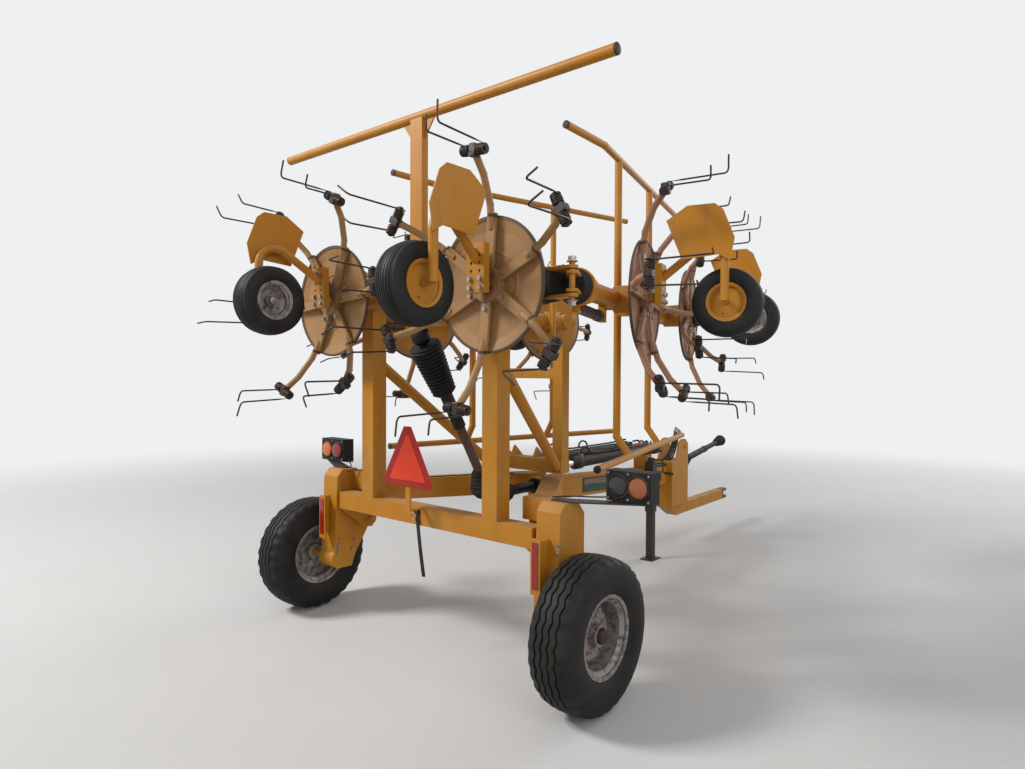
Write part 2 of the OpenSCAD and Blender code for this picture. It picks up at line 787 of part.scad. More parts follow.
// Rotors 1 and 2 are the middle pair, left and right. 3 and 4 are on the right wing, 5 and 6 on the left.
// Columns: number, row of ROTORS, left side
PLACES = [[1, 0, true], [2, 0, false], [3, 1, false], [4, 2, false], [5, 1, true], [6, 2, true]];

translate([axle_x, 0, 0]) {
    cart_frame();
    drawbar();
    headstock();
    hitch_clevis();
    side_panels();
    jack_housing();
    jack_leg();
    lamp_arms();
    lamps();
    lamp_lenses();
    side_reflectors();
    warning_triangle();
    hanging_strap();
    strap_shackle();
    input_shaft();
    pto_shaft();
    tilt_shaft_lower();
    tilt_shaft_upper();
    cylinder_barrels();
    cylinder_rods();
    transport_tyre(true);  // tyre_left
    transport_tyre(false);  // tyre_right
    transport_rim(true);  // rim_left
    transport_rim(false);  // rim_right
    lift_frame();
    front_rest();
    centre_beam();
    rear_guard();
    wing_beam(true);  // wing_beam_left
    wing_beam(false);  // wing_beam_right
    wing_guard(true);  // wing_guard_left
    wing_guard(false);  // wing_guard_right
    gauge_legs_centre();
    gauge_legs_wing(true);  // gauge_legs_left
    gauge_legs_wing(false);  // gauge_legs_right
    for (p = PLACES) {
        rotor(p[1], p[2]);
        tines(p[1], p[2]);
        gauge_tyre(p[1], p[2]);
        gauge_rim(p[1], p[2]);
    }
}
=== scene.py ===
"""Hay tedder folded for transport: the finishes and the fine pieces that go over its solids."""

import json
import math

import bmesh
import bpy
from mathutils import Matrix, Vector

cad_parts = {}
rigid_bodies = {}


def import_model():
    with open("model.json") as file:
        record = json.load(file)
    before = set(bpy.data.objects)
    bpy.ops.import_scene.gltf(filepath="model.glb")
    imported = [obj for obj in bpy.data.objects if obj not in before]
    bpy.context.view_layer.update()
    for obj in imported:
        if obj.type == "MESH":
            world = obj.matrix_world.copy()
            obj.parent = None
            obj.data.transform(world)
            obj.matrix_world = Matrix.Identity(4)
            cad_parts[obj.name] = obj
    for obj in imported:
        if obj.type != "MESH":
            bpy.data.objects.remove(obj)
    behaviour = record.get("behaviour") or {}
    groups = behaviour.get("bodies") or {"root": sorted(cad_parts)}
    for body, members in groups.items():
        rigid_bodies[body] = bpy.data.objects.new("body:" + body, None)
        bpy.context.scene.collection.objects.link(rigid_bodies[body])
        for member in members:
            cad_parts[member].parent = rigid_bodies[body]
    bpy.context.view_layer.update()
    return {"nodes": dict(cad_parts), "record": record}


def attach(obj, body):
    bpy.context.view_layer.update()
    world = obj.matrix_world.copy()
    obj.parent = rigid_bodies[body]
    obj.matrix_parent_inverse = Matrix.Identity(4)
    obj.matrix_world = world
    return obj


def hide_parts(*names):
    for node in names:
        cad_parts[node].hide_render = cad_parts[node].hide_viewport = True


bl_info = {
    "name": "Hay tedder",
    "version": (1, 0, 0),
    "blender": (4, 5, 0),
    "location": "View3D > Sidebar > Tedder",
    "description": "Dresses the tedder's solids with wire tines, ribbed tyres, bolts, boots and weathered paint",
    "category": "Object",
}

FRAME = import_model()

# Places and sizes in metres, from the transport axle, which stands at AXLE_X in the frame
AXLE_X = -1.865
AXLE_Z = 0.385
WHEEL_Y = 1.18
LEG_Y = 0.86
LEG_T = 0.15
ROTOR_Y = (0.674, 2.022, 3.37)
ROTOR_Z = 2.13
DISC_X = -0.185
DISC_R = 0.355
HINGE = (-0.06, -1.1)
FOLD = math.radians(104)
PLATE_DROP = 0.078
PLATE_T = 0.04
GAUGE_DROP = 0.48
GAUGE_LEAD = 0.04
GAUGE_IN = 0.045
COIL_R = 0.64
COIL_DROP = 0.19
TIP_R = 0.775
TIP_DROP = 0.52
ARMS = 6
COIL_Y = 0.022
COIL_PITCH = 1.1
SHAFT_FOOT = (0.58, 0, 0.85)
SHAFT_HEAD = (-0.05, 0, 1.89)
CYLINDER_BASE = (2.70, 0.15, 1.0)
CYLINDER_EYE = (1.07, 0.15, 1.0)
COUPLINGS = (-0.036, -0.012, 0.012, 0.036)

# A hose's loop on a lift cylinder: metres from the cylinder's base, and above its middle
LOOP = ((0.80, 0.052), (0.78, 0.085), (0.74, 0.098), (0.69, 0.085), (0.66, 0.048))

# Fixed tones, and the noise value above which rust shows
DIRT = (0.20, 0.11, 0.045)
SCUFF = (0.30, 0.19, 0.10)
RIM_EDGE = (0.055, 0.036, 0.024)
RUBBER_DUST = (0.095, 0.078, 0.058)
RUST_FROM = 0.69

# Number, row from the middle, left side, phase of the first arm, side of the gauge wheel's leg, body of the stem
ROTORS = (
    (1, 0, True, 35, -1, "lift"),
    (2, 0, False, 5, -1, "lift"),
    (3, 1, False, 35, 1, "wing_right"),
    (4, 2, False, 5, -1, "wing_right"),
    (5, 1, True, 5, 1, "wing_left"),
    (6, 2, True, 35, -1, "wing_left"),
)


# Sizes and colours


def length(name, about, value):
    return bpy.props.FloatProperty(name=name, description=about, default=value, unit="LENGTH")


def number(name, about, value):
    return bpy.props.IntProperty(name=name, description=about, default=value)


def tone(name, about, value):
    return bpy.props.FloatVectorProperty(name=name, description=about, subtype="COLOR", default=value)


class TedderSizes(bpy.types.PropertyGroup):
    """Sizes of the fine pieces"""

    wire: length("Tine wire", "Thickness of the tine wire", 0.010)
    coil: length("Tine coil", "Outer diameter of a tine coil", 0.058)
    turns: number("Coil turns", "Turns of each tine coil", 4)
    tread: length("Tread depth", "Depth of the transport tyres' grooves", 0.008)
    ribs: number("Transport ribs", "Ribs round a transport tyre", 5)
    fine_ribs: number("Gauge ribs", "Ribs round a gauge tyre", 7)
    bolt: length("Bolt head", "Width across a common bolt head", 0.024)
    folds: number("Boot folds", "Folds of the tilt shaft's boot", 14)


class TedderColours(bpy.types.PropertyGroup):
    """Colours of the finishes"""

    paint: tone("Paint", "Ochre machine paint", (0.46, 0.182, 0.010))
    faded: tone("Faded paint", "Paint bleached by the sun", (0.46, 0.222, 0.036))
    under: tone("Disc underside", "Scoured underside of a disc", (0.37, 0.205, 0.082))
    pink: tone("Right wing discs", "Scoured underside of the right wing's discs", (0.40, 0.195, 0.115))
    dust: tone("Dust", "Dry field dust", (0.36, 0.26, 0.16))
    rust: tone("Rust", "Brown surface rust", (0.13, 0.045, 0.018))
    steel: tone("Dark steel", "Blackened steel", (0.055, 0.048, 0.042))
    rubber: tone("Rubber", "Tyre and boot rubber", (0.0055, 0.0056, 0.0064))
    silver: tone("Rim", "Silver-grey rim paint", (0.28, 0.272, 0.262))
    orange: tone("Warning orange", "Face of the warning triangle", (0.70, 0.048, 0.012))
    red: tone("Reflector red", "Reflectors and the triangle's border", (0.34, 0.012, 0.009))


def sizes():
    return bpy.context.scene.tedder_sizes


def colours():
    return bpy.context.scene.tedder_colours


# Materials


class NodeTree:
    """A node tree, and the short calls that add to it."""

    def __init__(self, tree):
        self.tree = tree

    def feed(self, socket, value):
        """Links an output to an input, or sets the input's value."""
        if hasattr(value, "links"):
            self.tree.links.new(value, socket)
        else:
            socket.default_value = (*value, 1) if socket.type == "RGBA" else value

    def add(self, kind, **inputs):
        """A node; each keyword names an input and gives a socket or a value for it."""
        node = self.tree.nodes.new(kind)
        for key, value in inputs.items():
            self.feed(node.inputs[key.replace("_", " ")], value)
        return node

    def math(self, operation, a, b=0.0):
        node = self.tree.nodes.new("ShaderNodeMath")
        node.operation = operation
        for socket, value in zip(node.inputs, (a, b)):
            self.feed(socket, value)
        return node.outputs[0]

    def plus(self, a, b):
        return self.math("ADD", a, b)

    def times(self, a, b):
        return self.math("MULTIPLY", a, b)

    def show(self, output, factor, first, second):
        """Sends two shaders to an output node, mixed from the first to the second by a factor."""
        mixed = self.add("ShaderNodeMixShader", Fac=factor)
        for socket, node in zip(mixed.inputs[1:], (first, second)):
            self.feed(socket, node.outputs[0])
        self.feed(self.tree.nodes[output].inputs["Surface"], mixed.outputs[0])


class Finish(NodeTree):
    """One material and the calls that wire up its nodes."""

    def __init__(self, name, metallic=0.0, roughness=0.5):
        self.material = bpy.data.materials.new(name)
        self.material.use_nodes = True
        super().__init__(self.material.node_tree)
        self.shader = self.tree.nodes["Principled BSDF"]
        self.set(Metallic=metallic, Roughness=roughness, Specular_IOR_Level=0.25)
        self.coords = self.tree.nodes.new("ShaderNodeTexCoord")
        self.place = self.coords.outputs["Object"]

    def set(self, **inputs):
        """Feeds the shader's own inputs."""
        for key, value in inputs.items():
            self.feed(self.shader.inputs[key.replace("_", " ")], value)

    def noise(self, scale, detail=5, stretch=None, rough=0.6):
        """A noise value over the piece; stretch scales its three directions."""
        place = self.place
        if stretch:
            place = self.add("ShaderNodeMapping", Vector=place, Scale=stretch).outputs[0]
        return self.add("ShaderNodeTexNoise", Vector=place, Scale=scale, Detail=detail, Roughness=rough).outputs["Fac"]

    def ramp(self, value, low, high, to_low=0.0, to_high=1.0):
        """Maps a value between low and high to a clamped range."""
        node = self.add("ShaderNodeMapRange", Value=value, From_Min=low, From_Max=high, To_Min=to_low, To_Max=to_high)
        return node.outputs["Result"]

    def mix(self, factor, a, b):
        """Mixes two colours, each given as a socket or three numbers."""
        node = self.tree.nodes.new("ShaderNodeMix")
        node.data_type = "RGBA"
        for number, value in ((0, factor), (6, a), (7, b)):
            self.feed(node.inputs[number], value)
        return node.outputs[2]

    def split(self, vector):
        """The three parts of a vector."""
        return self.add("ShaderNodeSeparateXYZ", Vector=vector).outputs

    def local(self, matrix):
        """Coordinates in a turned frame, such as a rotor's, as three sockets."""
        place, turn = matrix.to_translation(), matrix.to_euler()
        mapping = self.add("ShaderNodeMapping", Vector=self.place, Location=place, Rotation=turn)
        mapping.vector_type = "TEXTURE"
        return self.split(mapping.outputs[0])

    def reach(self, *parts):
        """The length of a vector given by its parts."""
        total = 0.0
        for part in parts:
            total = self.plus(total, self.times(part, part))
        return self.math("SQRT", total)

    def bump(self, height, distance, strength=0.5):
        node = self.add("ShaderNodeBump", Strength=strength, Distance=distance, Height=height)
        self.set(Normal=node.outputs[0])


def weathered(name):
    """Paint bleached in patches, with dust on top faces, dirt runs and specks of rust. Gives its colour too."""
    c = colours()
    finish = Finish(name, 0.0, 0.45)
    body = finish.mix(finish.ramp(finish.noise(2.2, 4), 0.42, 0.68), c.paint, c.faded)
    runs = finish.ramp(finish.noise(9, 5, stretch=(1, 1, 0.12)), 0.52, 0.78, 0, 0.35)
    body = finish.mix(runs, body, DIRT)
    upward = finish.ramp(finish.split(finish.coords.outputs["Normal"])["Z"], 0.35, 0.95, 0, 0.55)
    dusty = finish.times(upward, finish.ramp(finish.noise(6, 6), 0.3, 0.62))
    body = finish.mix(dusty, body, c.dust)
    fine = finish.times(finish.noise(70, 8, rough=0.72), 0.6)
    specks = finish.ramp(finish.plus(fine, finish.times(finish.noise(5, 3), 0.4)), RUST_FROM - 0.06, RUST_FROM)
    specks = finish.times(specks, 0.75)
    body = finish.mix(specks, body, c.rust)
    finish.set(Base_Color=body, Roughness=finish.ramp(finish.math("MAXIMUM", dusty, specks), 0, 0.7, 0.46, 0.85))
    finish.bump(finish.noise(30, 3), 0.0004, 0.12)
    return finish, body


def disc_finish(name, matrix, tones):
    """Rotor paint: clean on top, scoured tan below, with a dark rolled rim and stains round the hub."""
    finish, body = weathered(name)
    x, y, z = finish.local(matrix)
    radius = finish.reach(x, y)
    below = finish.ramp(z, 0.0105, 0.0115, 1, 0)
    scoured = finish.mix(finish.ramp(finish.noise(3.5, 6), 0.35, 0.7), *tones)
    scuffs = finish.ramp(finish.noise(22, 7, stretch=(1, 1, 0.4)), 0.5, 0.72, 0, 0.55)
    scoured = finish.mix(scuffs, scoured, SCUFF)
    body = finish.mix(below, body, scoured)
    rim = finish.times(below, finish.ramp(radius, DISC_R - 0.016, DISC_R - 0.010))
    rim = finish.times(rim, finish.ramp(radius, DISC_R + 0.004, DISC_R + 0.002))
    body = finish.mix(finish.times(rim, 0.92), body, RIM_EDGE)
    stain = finish.times(finish.ramp(radius, 0.13, 0.05), finish.ramp(finish.noise(14, 6), 0.3, 0.6))
    finish.set(Base_Color=finish.mix(stain, body, colours().rust))
    return finish.material


def beam_finish(name, joint):
    """Machine paint, with the black rubber of the boot over the ball joint at a place."""
    finish, body = weathered(name)
    reach = finish.reach(*finish.local(Matrix.Translation(joint)))
    finish.set(Base_Color=finish.mix(finish.ramp(reach, 0.086, 0.084), body, colours().rubber))
    return finish.material


def steel_finish(name, base, rust=0.5, roughness=0.45, metallic=0.7):
    c = colours()
    finish = Finish(name, metallic, roughness)
    mask = finish.ramp(finish.noise(28, 8, rough=0.7), 0.62 - 0.22 * rust, 0.74 - 0.12 * rust)
    body = finish.mix(mask, base, c.rust)
    finish.set(Base_Color=body)
    finish.set(Roughness=finish.ramp(mask, 0, 1, roughness, 0.9))
    finish.bump(finish.noise(220, 5), 0.0004, 0.4)
    return finish.material


def rubber_finish(name, dust_amount=0.5):
    c = colours()
    finish = Finish(name, 0.0, 0.72)
    dusty = finish.ramp(finish.noise(7, 7), 0.42, 0.72, 0, dust_amount)
    grains = finish.ramp(finish.noise(120, 6), 0.5, 0.75, 0, 0.25)
    body = finish.mix(finish.math("MAXIMUM", dusty, grains), c.rubber, RUBBER_DUST)
    finish.set(Base_Color=body)
    finish.set(Roughness=finish.ramp(dusty, 0, 0.5, 0.55, 0.9))
    finish.bump(finish.noise(300, 4), 0.0005, 0.35)
    return finish.material


def plain_finish(name, base, roughness=0.35, dust_amount=0.2):
    """Plastic, lens or film: one colour under a thin uneven dust."""
    c = colours()
    finish = Finish(name, 0.0, roughness)
    dusty = finish.ramp(finish.noise(16, 7), 0.45, 0.8, 0, dust_amount)
    finish.set(Base_Color=finish.mix(dusty, base, c.dust))
    finish.set(Roughness=finish.ramp(dusty, 0, 0.3, roughness, 0.8))
    finish.bump(finish.noise(180, 3), 0.0003, 0.2)
    return finish.material


def plate_finish(name, plate, post):
    """The warning plate's colour above its foot, and the post's paint below it."""
    finish = Finish(name, 0.0, 0.5)
    dusty = finish.ramp(finish.noise(16, 7), 0.45, 0.8, 0, 0.25)
    z = finish.local(Matrix.Identity(4))["Z"]
    body = finish.mix(finish.ramp(z, 0.9985, 0.9995), post, plate)
    finish.set(Base_Color=finish.mix(dusty, body, colours().dust))
    return finish.material


def lens_finish(name, base):
    """Moulded lens with small square prisms behind a glossy face."""
    finish = Finish(name, 0.0, 0.16)
    finish.set(Coat_Weight=0.6)
    checker = finish.add("ShaderNodeTexChecker", Vector=finish.place, Scale=130)
    finish.set(Base_Color=finish.mix(checker.outputs["Fac"], base, tuple(v * 0.62 for v in base)))
    finish.bump(checker.outputs["Fac"], 0.0008, 0.4)
    return finish.material


MATERIALS = {}


def make_materials():
    c = colours()
    MATERIALS.update(
        yellow_paint=weathered("ochre_paint")[0].material,
        dark_steel=steel_finish("dark_steel", c.steel, 0.45),
        tine_steel=steel_finish("tine_steel", (0.05, 0.043, 0.038), 0.35, 0.4, 0.8),
        black_parts=rubber_finish("black_rubber", 0.3),
        silver_paint=steel_finish("rim_paint", c.silver, 0.75, 0.5, 0.35),
        rod_chrome=steel_finish("cylinder_rod", (0.62, 0.61, 0.6), 0.1, 0.16, 1.0),
        dark_panel=plain_finish("dark_panel", (0.018, 0.020, 0.021), 0.4),
        tyre=rubber_finish("tyre_rubber", 0.22),
        lamp_lens=lens_finish("amber_lens", (0.72, 0.17, 0.02)),
        red_lens=lens_finish("red_lens", (0.30, 0.02, 0.012)),
        red_reflector=lens_finish("red_reflector", c.red),
        warning_orange=plain_finish("warning_orange", c.orange, 0.5, 0.1),
        beam_paint=beam_finish("beam_paint", at(*SHAFT_HEAD)),
        plate_orange=plate_finish("plate_orange", c.orange, c.paint),
        warning_red=plain_finish("warning_red", c.red, 0.4, 0.1),
        worn_shaft=steel_finish("worn_shaft", (0.11, 0.085, 0.068), 0.6, 0.6, 0.3),
        black_plastic=plain_finish("black_plastic", (0.016, 0.016, 0.017), 0.5, 0.35),
        zinc=steel_finish("zinc_bolts", (0.34, 0.32, 0.29), 0.5, 0.42, 0.9),
        dark_lens=lens_finish("dark_lens", (0.03, 0.028, 0.028)),
        brown_lens=lens_finish("brown_lens", (0.42, 0.12, 0.035)),
        green_film=plain_finish("green_film", (0.02, 0.075, 0.04), 0.4),
        grey_film=plain_finish("grey_film", (0.19, 0.15, 0.115), 0.45),
        pale_film=plain_finish("pale_film", (0.55, 0.47, 0.33), 0.45),
        webbing=rubber_finish("strap_webbing", 0.6),
    )


# Geometry Nodes


class Growth(NodeTree):
    """A Geometry Nodes tree with named inputs, and the call that runs it on an object."""

    def __init__(self, name, inputs):
        super().__init__(bpy.data.node_groups.new(name, "GeometryNodeTree"))
        self.ids = {}
        face = self.tree.interface
        face.new_socket("Geometry", in_out="INPUT", socket_type="NodeSocketGeometry")
        face.new_socket("Geometry", in_out="OUTPUT", socket_type="NodeSocketGeometry")
        for key, kind in inputs:
            self.ids[key] = face.new_socket(key, in_out="INPUT", socket_type="NodeSocket" + kind).identifier
        self.given = self.tree.nodes.new("NodeGroupInput").outputs

    def close(self, geometry):
        """Ends the tree in Realize Instances and Set Material."""
        real = self.add("GeometryNodeRealizeInstances", Geometry=geometry)
        made = self.add("GeometryNodeSetMaterial", Geometry=real.outputs[0], Material=self.given["Material"])
        out = self.tree.nodes.new("NodeGroupOutput")
        self.tree.links.new(made.outputs[0], out.inputs[0])

    def tube(self, curve, radius, **inputs):
        """A smooth capped tube along a curve."""
        ring = self.add("GeometryNodeCurvePrimitiveCircle", Resolution=self.given["Sides"], Radius=radius)
        lines = {"Curve": curve.outputs[0], "Profile_Curve": ring.outputs[0]}
        skin = self.add("GeometryNodeCurveToMesh", Fill_Caps=True, **lines, **inputs)
        return self.add("GeometryNodeSetShadeSmooth", Geometry=skin.outputs[0])

    def scatter(self, **inputs):
        """Puts copies on points, and ends the tree there."""
        self.close(self.add("GeometryNodeInstanceOnPoints", **inputs).outputs[0])

    def grow(self, obj, **inputs):
        """Runs the tree on obj and leaves its result as obj's own mesh."""
        modifier = obj.modifiers.new("grow", "NODES")
        modifier.node_group = self.tree
        for key, value in inputs.items():
            modifier[self.ids[key]] = value
        return applied(obj)


GROWTHS = {}


def make_growths():
    wire = Growth("wire_along_edges", [("Radius", "Float"), ("Sides", "Int"), ("Material", "Material")])
    curve = wire.add("GeometryNodeMeshToCurve", Mesh=wire.given["Geometry"])
    wire.close(wire.tube(curve, wire.given["Radius"]).outputs[0])

    copies = Growth("copies_round_axis", [("Count", "Int"), ("Phase", "Float"), ("Material", "Material")])
    points = copies.add("GeometryNodeMeshLine", Count=copies.given["Count"])
    points.inputs["Offset"].default_value = (0, 0, 0)
    index = copies.add("GeometryNodeInputIndex")
    step = copies.math("DIVIDE", 2 * math.pi, copies.given["Count"])
    angle = copies.plus(copies.times(index.outputs[0], step), copies.given["Phase"])
    turn = copies.add("ShaderNodeCombineXYZ", Z=angle)
    copies.scatter(Points=points.outputs[0], Instance=copies.given["Geometry"], Rotation=turn.outputs[0])

    heads = Growth("heads_on_points", [("Head", "Object"), ("Scale", "Float"), ("Material", "Material")])
    facing = heads.add("GeometryNodeInputNamedAttribute")
    facing.data_type = "FLOAT_VECTOR"
    facing.inputs["Name"].default_value = "facing"
    align = heads.add("FunctionNodeAlignRotationToVector", Vector=facing.outputs[0])
    align.axis = "Z"
    head = heads.add("GeometryNodeObjectInfo", Object=heads.given["Head"])
    scale = heads.add("ShaderNodeCombineXYZ", X=heads.given["Scale"], Y=heads.given["Scale"], Z=heads.given["Scale"])
    heads.scatter(
        Points=heads.given["Geometry"],
        Instance=head.outputs["Geometry"],
        Rotation=align.outputs[0],
        Scale=scale.outputs[0],
    )

    boot = Growth("folds_along_edges", [
        ("Start", "Float"), ("End", "Float"), ("Depth", "Float"),
        ("Folds", "Int"), ("Sides", "Int"), ("Material", "Material"),
    ])
    curve = boot.add("GeometryNodeMeshToCurve", Mesh=boot.given["Geometry"])
    count = boot.times(boot.given["Folds"], 8)
    points = boot.add("GeometryNodeResampleCurve", Curve=curve.outputs[0], Count=count)
    along = boot.add("GeometryNodeSplineParameter").outputs["Factor"]
    wave = boot.math("SINE", boot.times(boot.times(along, boot.given["Folds"]), 2 * math.pi))
    widening = boot.math("SUBTRACT", boot.given["End"], boot.given["Start"])
    grown = boot.plus(boot.given["Start"], boot.times(along, widening))
    radius = boot.plus(grown, boot.times(wave, boot.given["Depth"]))
    shaped = boot.add("GeometryNodeSetCurveRadius", Curve=points.outputs[0], Radius=radius)
    boot.close(boot.tube(shaped, 1.0, Scale=boot.add("GeometryNodeInputRadius").outputs[0]).outputs[0])
    GROWTHS.update(wire=wire, copies=copies, heads=heads, boot=boot)


# Mesh helpers


def at(x, y, z):
    """A place measured from the transport axle, in the frame."""
    return Vector((AXLE_X + x, y, z))


def new_object(name, data):
    obj = bpy.data.objects.new(name, data)
    bpy.context.scene.collection.objects.link(obj)
    return obj


def from_bmesh(name, bm, material=None, smooth=False):
    mesh = bpy.data.meshes.new(name)
    bm.normal_update()
    bm.to_mesh(mesh)
    bm.free()
    if material:
        mesh.materials.append(MATERIALS[material])
    if smooth:
        mesh.polygons.foreach_set("use_smooth", [True] * len(mesh.polygons))
    return new_object(name, mesh)


def edges_object(name, runs):
    """A mesh of open edge runs, for a wire to be grown along."""
    verts, edges = [], []
    for run in runs:
        start = len(verts)
        verts += [tuple(p) for p in run]
        edges += [(start + k, start + k + 1) for k in range(len(run) - 1)]
    mesh = bpy.data.meshes.new(name)
    mesh.from_pydata(verts, edges, [])
    return new_object(name, mesh)


def points_object(name, places):
    """A mesh of loose points, each with the direction that a head on it faces."""
    mesh = bpy.data.meshes.new(name)
    mesh.from_pydata([tuple(p) for p, _ in places], [], [])
    facing = mesh.attributes.new("facing", "FLOAT_VECTOR", "POINT")
    facing.data.foreach_set("vector", [v for _, d in places for v in Vector(d).normalized()])
    return new_object(name, mesh)


def place_mesh(obj, matrix):
    """Applies a matrix to the mesh itself, and turns the faces back out where it mirrors."""
    obj.data.transform(matrix)
    if matrix.determinant() < 0:
        obj.data.flip_normals()
    obj.data.update()
    return obj


def joined(name, objects):
    """Joins objects into the first one and renames it."""
    bpy.ops.object.select_all(action="DESELECT")
    for obj in objects:
        obj.select_set(True)
    bpy.context.view_layer.objects.active = objects[0]
    if len(objects) > 1:
        bpy.ops.object.join()
    objects[0].name = name
    objects[0].data.name = name
    return objects[0]


def applied(obj):
    """Leaves the result of an object's modifiers as its own mesh."""
    bpy.context.view_layer.update()
    graph = bpy.context.evaluated_depsgraph_get()
    mesh = bpy.data.meshes.new_from_object(obj.evaluated_get(graph), depsgraph=graph)
    obj.modifiers.clear()
    obj.data = mesh
    return obj


def slab(name, outline, low, high, material, matrix=Matrix.Identity(4), bevel=0.0015):
    """A flat outline in X and Y, given thickness along Z and softened at its edges."""
    bm = bmesh.new()
    bottom = [bm.verts.new((x, y, low)) for x, y in outline]
    top = [bm.verts.new((x, y, high)) for x, y in outline]
    bm.faces.new(reversed(bottom))
    bm.faces.new(top)
    n = len(outline)
    for k in range(n):
        bm.faces.new((bottom[k], bottom[(k + 1) % n], top[(k + 1) % n], top[k]))
    bmesh.ops.recalc_face_normals(bm, faces=bm.faces)
    obj = from_bmesh(name, bm, material)
    if bevel:
        modifier = obj.modifiers.new("edges", "BEVEL")
        modifier.width = bevel
        modifier.segments = 2
        modifier.limit_method = "ANGLE"
        modifier.angle_limit = math.radians(30)
        applied(obj)
    return place_mesh(obj, matrix)


def closed_rings(name, rings, material, degrees=35):
    """A closed surface through equal rings of points, each joined to the next and the last to the first."""
    n = len(rings[0])
    faces = []
    for s in range(len(rings)):
        t = (s + 1) % len(rings)
        for k in range(n):
            j = (k + 1) % n
            faces.append((s * n + k, s * n + j, t * n + j, t * n + k))
    mesh = bpy.data.meshes.new(name)
    mesh.from_pydata([p for ring in rings for p in ring], [], faces)
    bm = bmesh.new()
    bm.from_mesh(mesh)
    bmesh.ops.remove_doubles(bm, verts=bm.verts, dist=1e-6)
    bmesh.ops.recalc_face_normals(bm, faces=bm.faces)
    bpy.data.meshes.remove(mesh)
    obj = from_bmesh(name, bm, material, True)
    obj.data.set_sharp_from_angle(angle=math.radians(degrees))
    return obj


def lathe(name, profile, material, matrix=Matrix.Identity(4), steps=48):
    """Turns a closed outline of radius and height about Z."""
    rings = []
    for s in range(steps):
        a = 2 * math.pi * s / steps
        rings.append([(r * math.cos(a), r * math.sin(a), z) for r, z in profile])
    return place_mesh(closed_rings(name, rings, material), matrix)


def rod(radius, low, high):
    """A lathe outline of a plain round bar."""
    return [(0.0, low), (radius, low), (radius, high), (0.0, high)]


def turn_to(place, direction):
    """A matrix that takes Z to direction at place."""
    return Matrix.Translation(place) @ Vector(direction).normalized().to_track_quat("Z", "Y").to_matrix().to_4x4()


def wing_matrix(left, folded=True):
    """The frame of a spread wing, turned to its parked place, or of the middle beam, which doesn't fold."""
    matrix = Matrix.Translation((AXLE_X, 0, 0))
    if left:
        matrix = matrix @ Matrix.Scale(-1, 4, (0, 1, 0))
    if folded:
        hinge = Matrix.Translation((*HINGE, 0))
        matrix = matrix @ hinge @ Matrix.Rotation(FOLD, 4, "Z") @ hinge.inverted()
    return matrix


def rotor_matrix(row, left):
    """The work frame of one rotor, as parked: Z up the rotor's axis, disc at the origin."""
    place = Matrix.Translation((DISC_X, -ROTOR_Y[row], ROTOR_Z))
    return wing_matrix(left, row > 0) @ place @ Matrix.Rotation(math.radians(90), 4, "Y")


def gauge_matrix(row, left, side):
    """The frame of one gauge wheel: Z along its axle, away from its leg."""
    foot = Matrix.Translation((GAUGE_LEAD, -side * GAUGE_IN, -GAUGE_DROP))
    return rotor_matrix(row, left) @ foot @ Matrix.Rotation(math.radians(90 * side), 4, "X")


def fit(piece, body, node=None):
    """Sets a piece on its body, in a plain node's place if one is named."""
    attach(piece, body)
    if node:
        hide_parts(node)


def bolt_heads(name, places, body, scale=1.0, material="zinc"):
    """Hexagon heads with washers on a list of places and directions, as one piece."""
    obj = points_object(name, places)
    GROWTHS["heads"].grow(obj, Head=bpy.data.objects["bolt_pattern_head"], Scale=scale, Material=MATERIALS[material])
    fit(obj, body)


def pattern_head():
    """One hexagon head, 24 mm across, on its washer. Only its copies are shown."""
    width = sizes().bolt
    bm = bmesh.new()
    for radius, low, high, sides in ((width * 0.72, 0, 0.003, 16), (width * 0.575, 0.003, 0.016, 6)):
        part = bmesh.ops.create_cone(
            bm, cap_ends=True, segments=sides, radius1=radius, radius2=radius * 0.94, depth=high - low
        )
        bmesh.ops.translate(bm, verts=part["verts"], vec=(0, 0, (low + high) / 2))
    head = from_bmesh("bolt_pattern_head", bm, "zinc")
    head.hide_render = True
    head.hide_viewport = True


# Pieces


class TEDDER_OT_materials(bpy.types.Operator):
    """Make the finishes and the Geometry Nodes trees"""

    bl_idname = "tedder.materials"
    bl_label = "Finishes"

    def execute(self, context):
        make_materials()
        make_growths()
        pattern_head()
        return {"FINISHED"}


class TEDDER_OT_solids(bpy.types.Operator):
    """Give every solid its finish"""

    bl_idname = "tedder.solids"
    bl_label = "Solids"

    def execute(self, context):
        slots = {row["node"]: row["material_slot"] for row in FRAME["record"]["subparts"]}
        for name, obj in FRAME["nodes"].items():
            material = MATERIALS[slots[name]]
            for slot in obj.material_slots:
                slot.material = material
        for number, row, left, _, _, _ in ROTORS:
            obj = FRAME["nodes"][f"rotor_{number}"]
            matrix = rotor_matrix(row, left)
            axis = matrix.to_3x3() @ Vector((0, 0, 1))
            tones = (colours().under, (0.30, 0.16, 0.062))
            if number in (3, 4):
                tones = (colours().pink, (0.29, 0.145, 0.085))
            finish = disc_finish(f"rotor_paint_{number}", turn_to(matrix.to_translation(), axis), tones)
            for slot in obj.material_slots:
                slot.material = finish
            MATERIALS[f"disc_{number}"] = finish
        for name, material in (
            ("tilt_shaft_lower", "worn_shaft"),
            ("gauge_rim_1", "silver_paint"),
            ("gauge_rim_4", "silver_paint"),
            ("warning_triangle", "plate_orange"),
            ("centre_beam", "beam_paint"),
        ):
            for slot in FRAME["nodes"][name].material_slots:
                slot.material = MATERIALS[material]
        return {"FINISHED"}


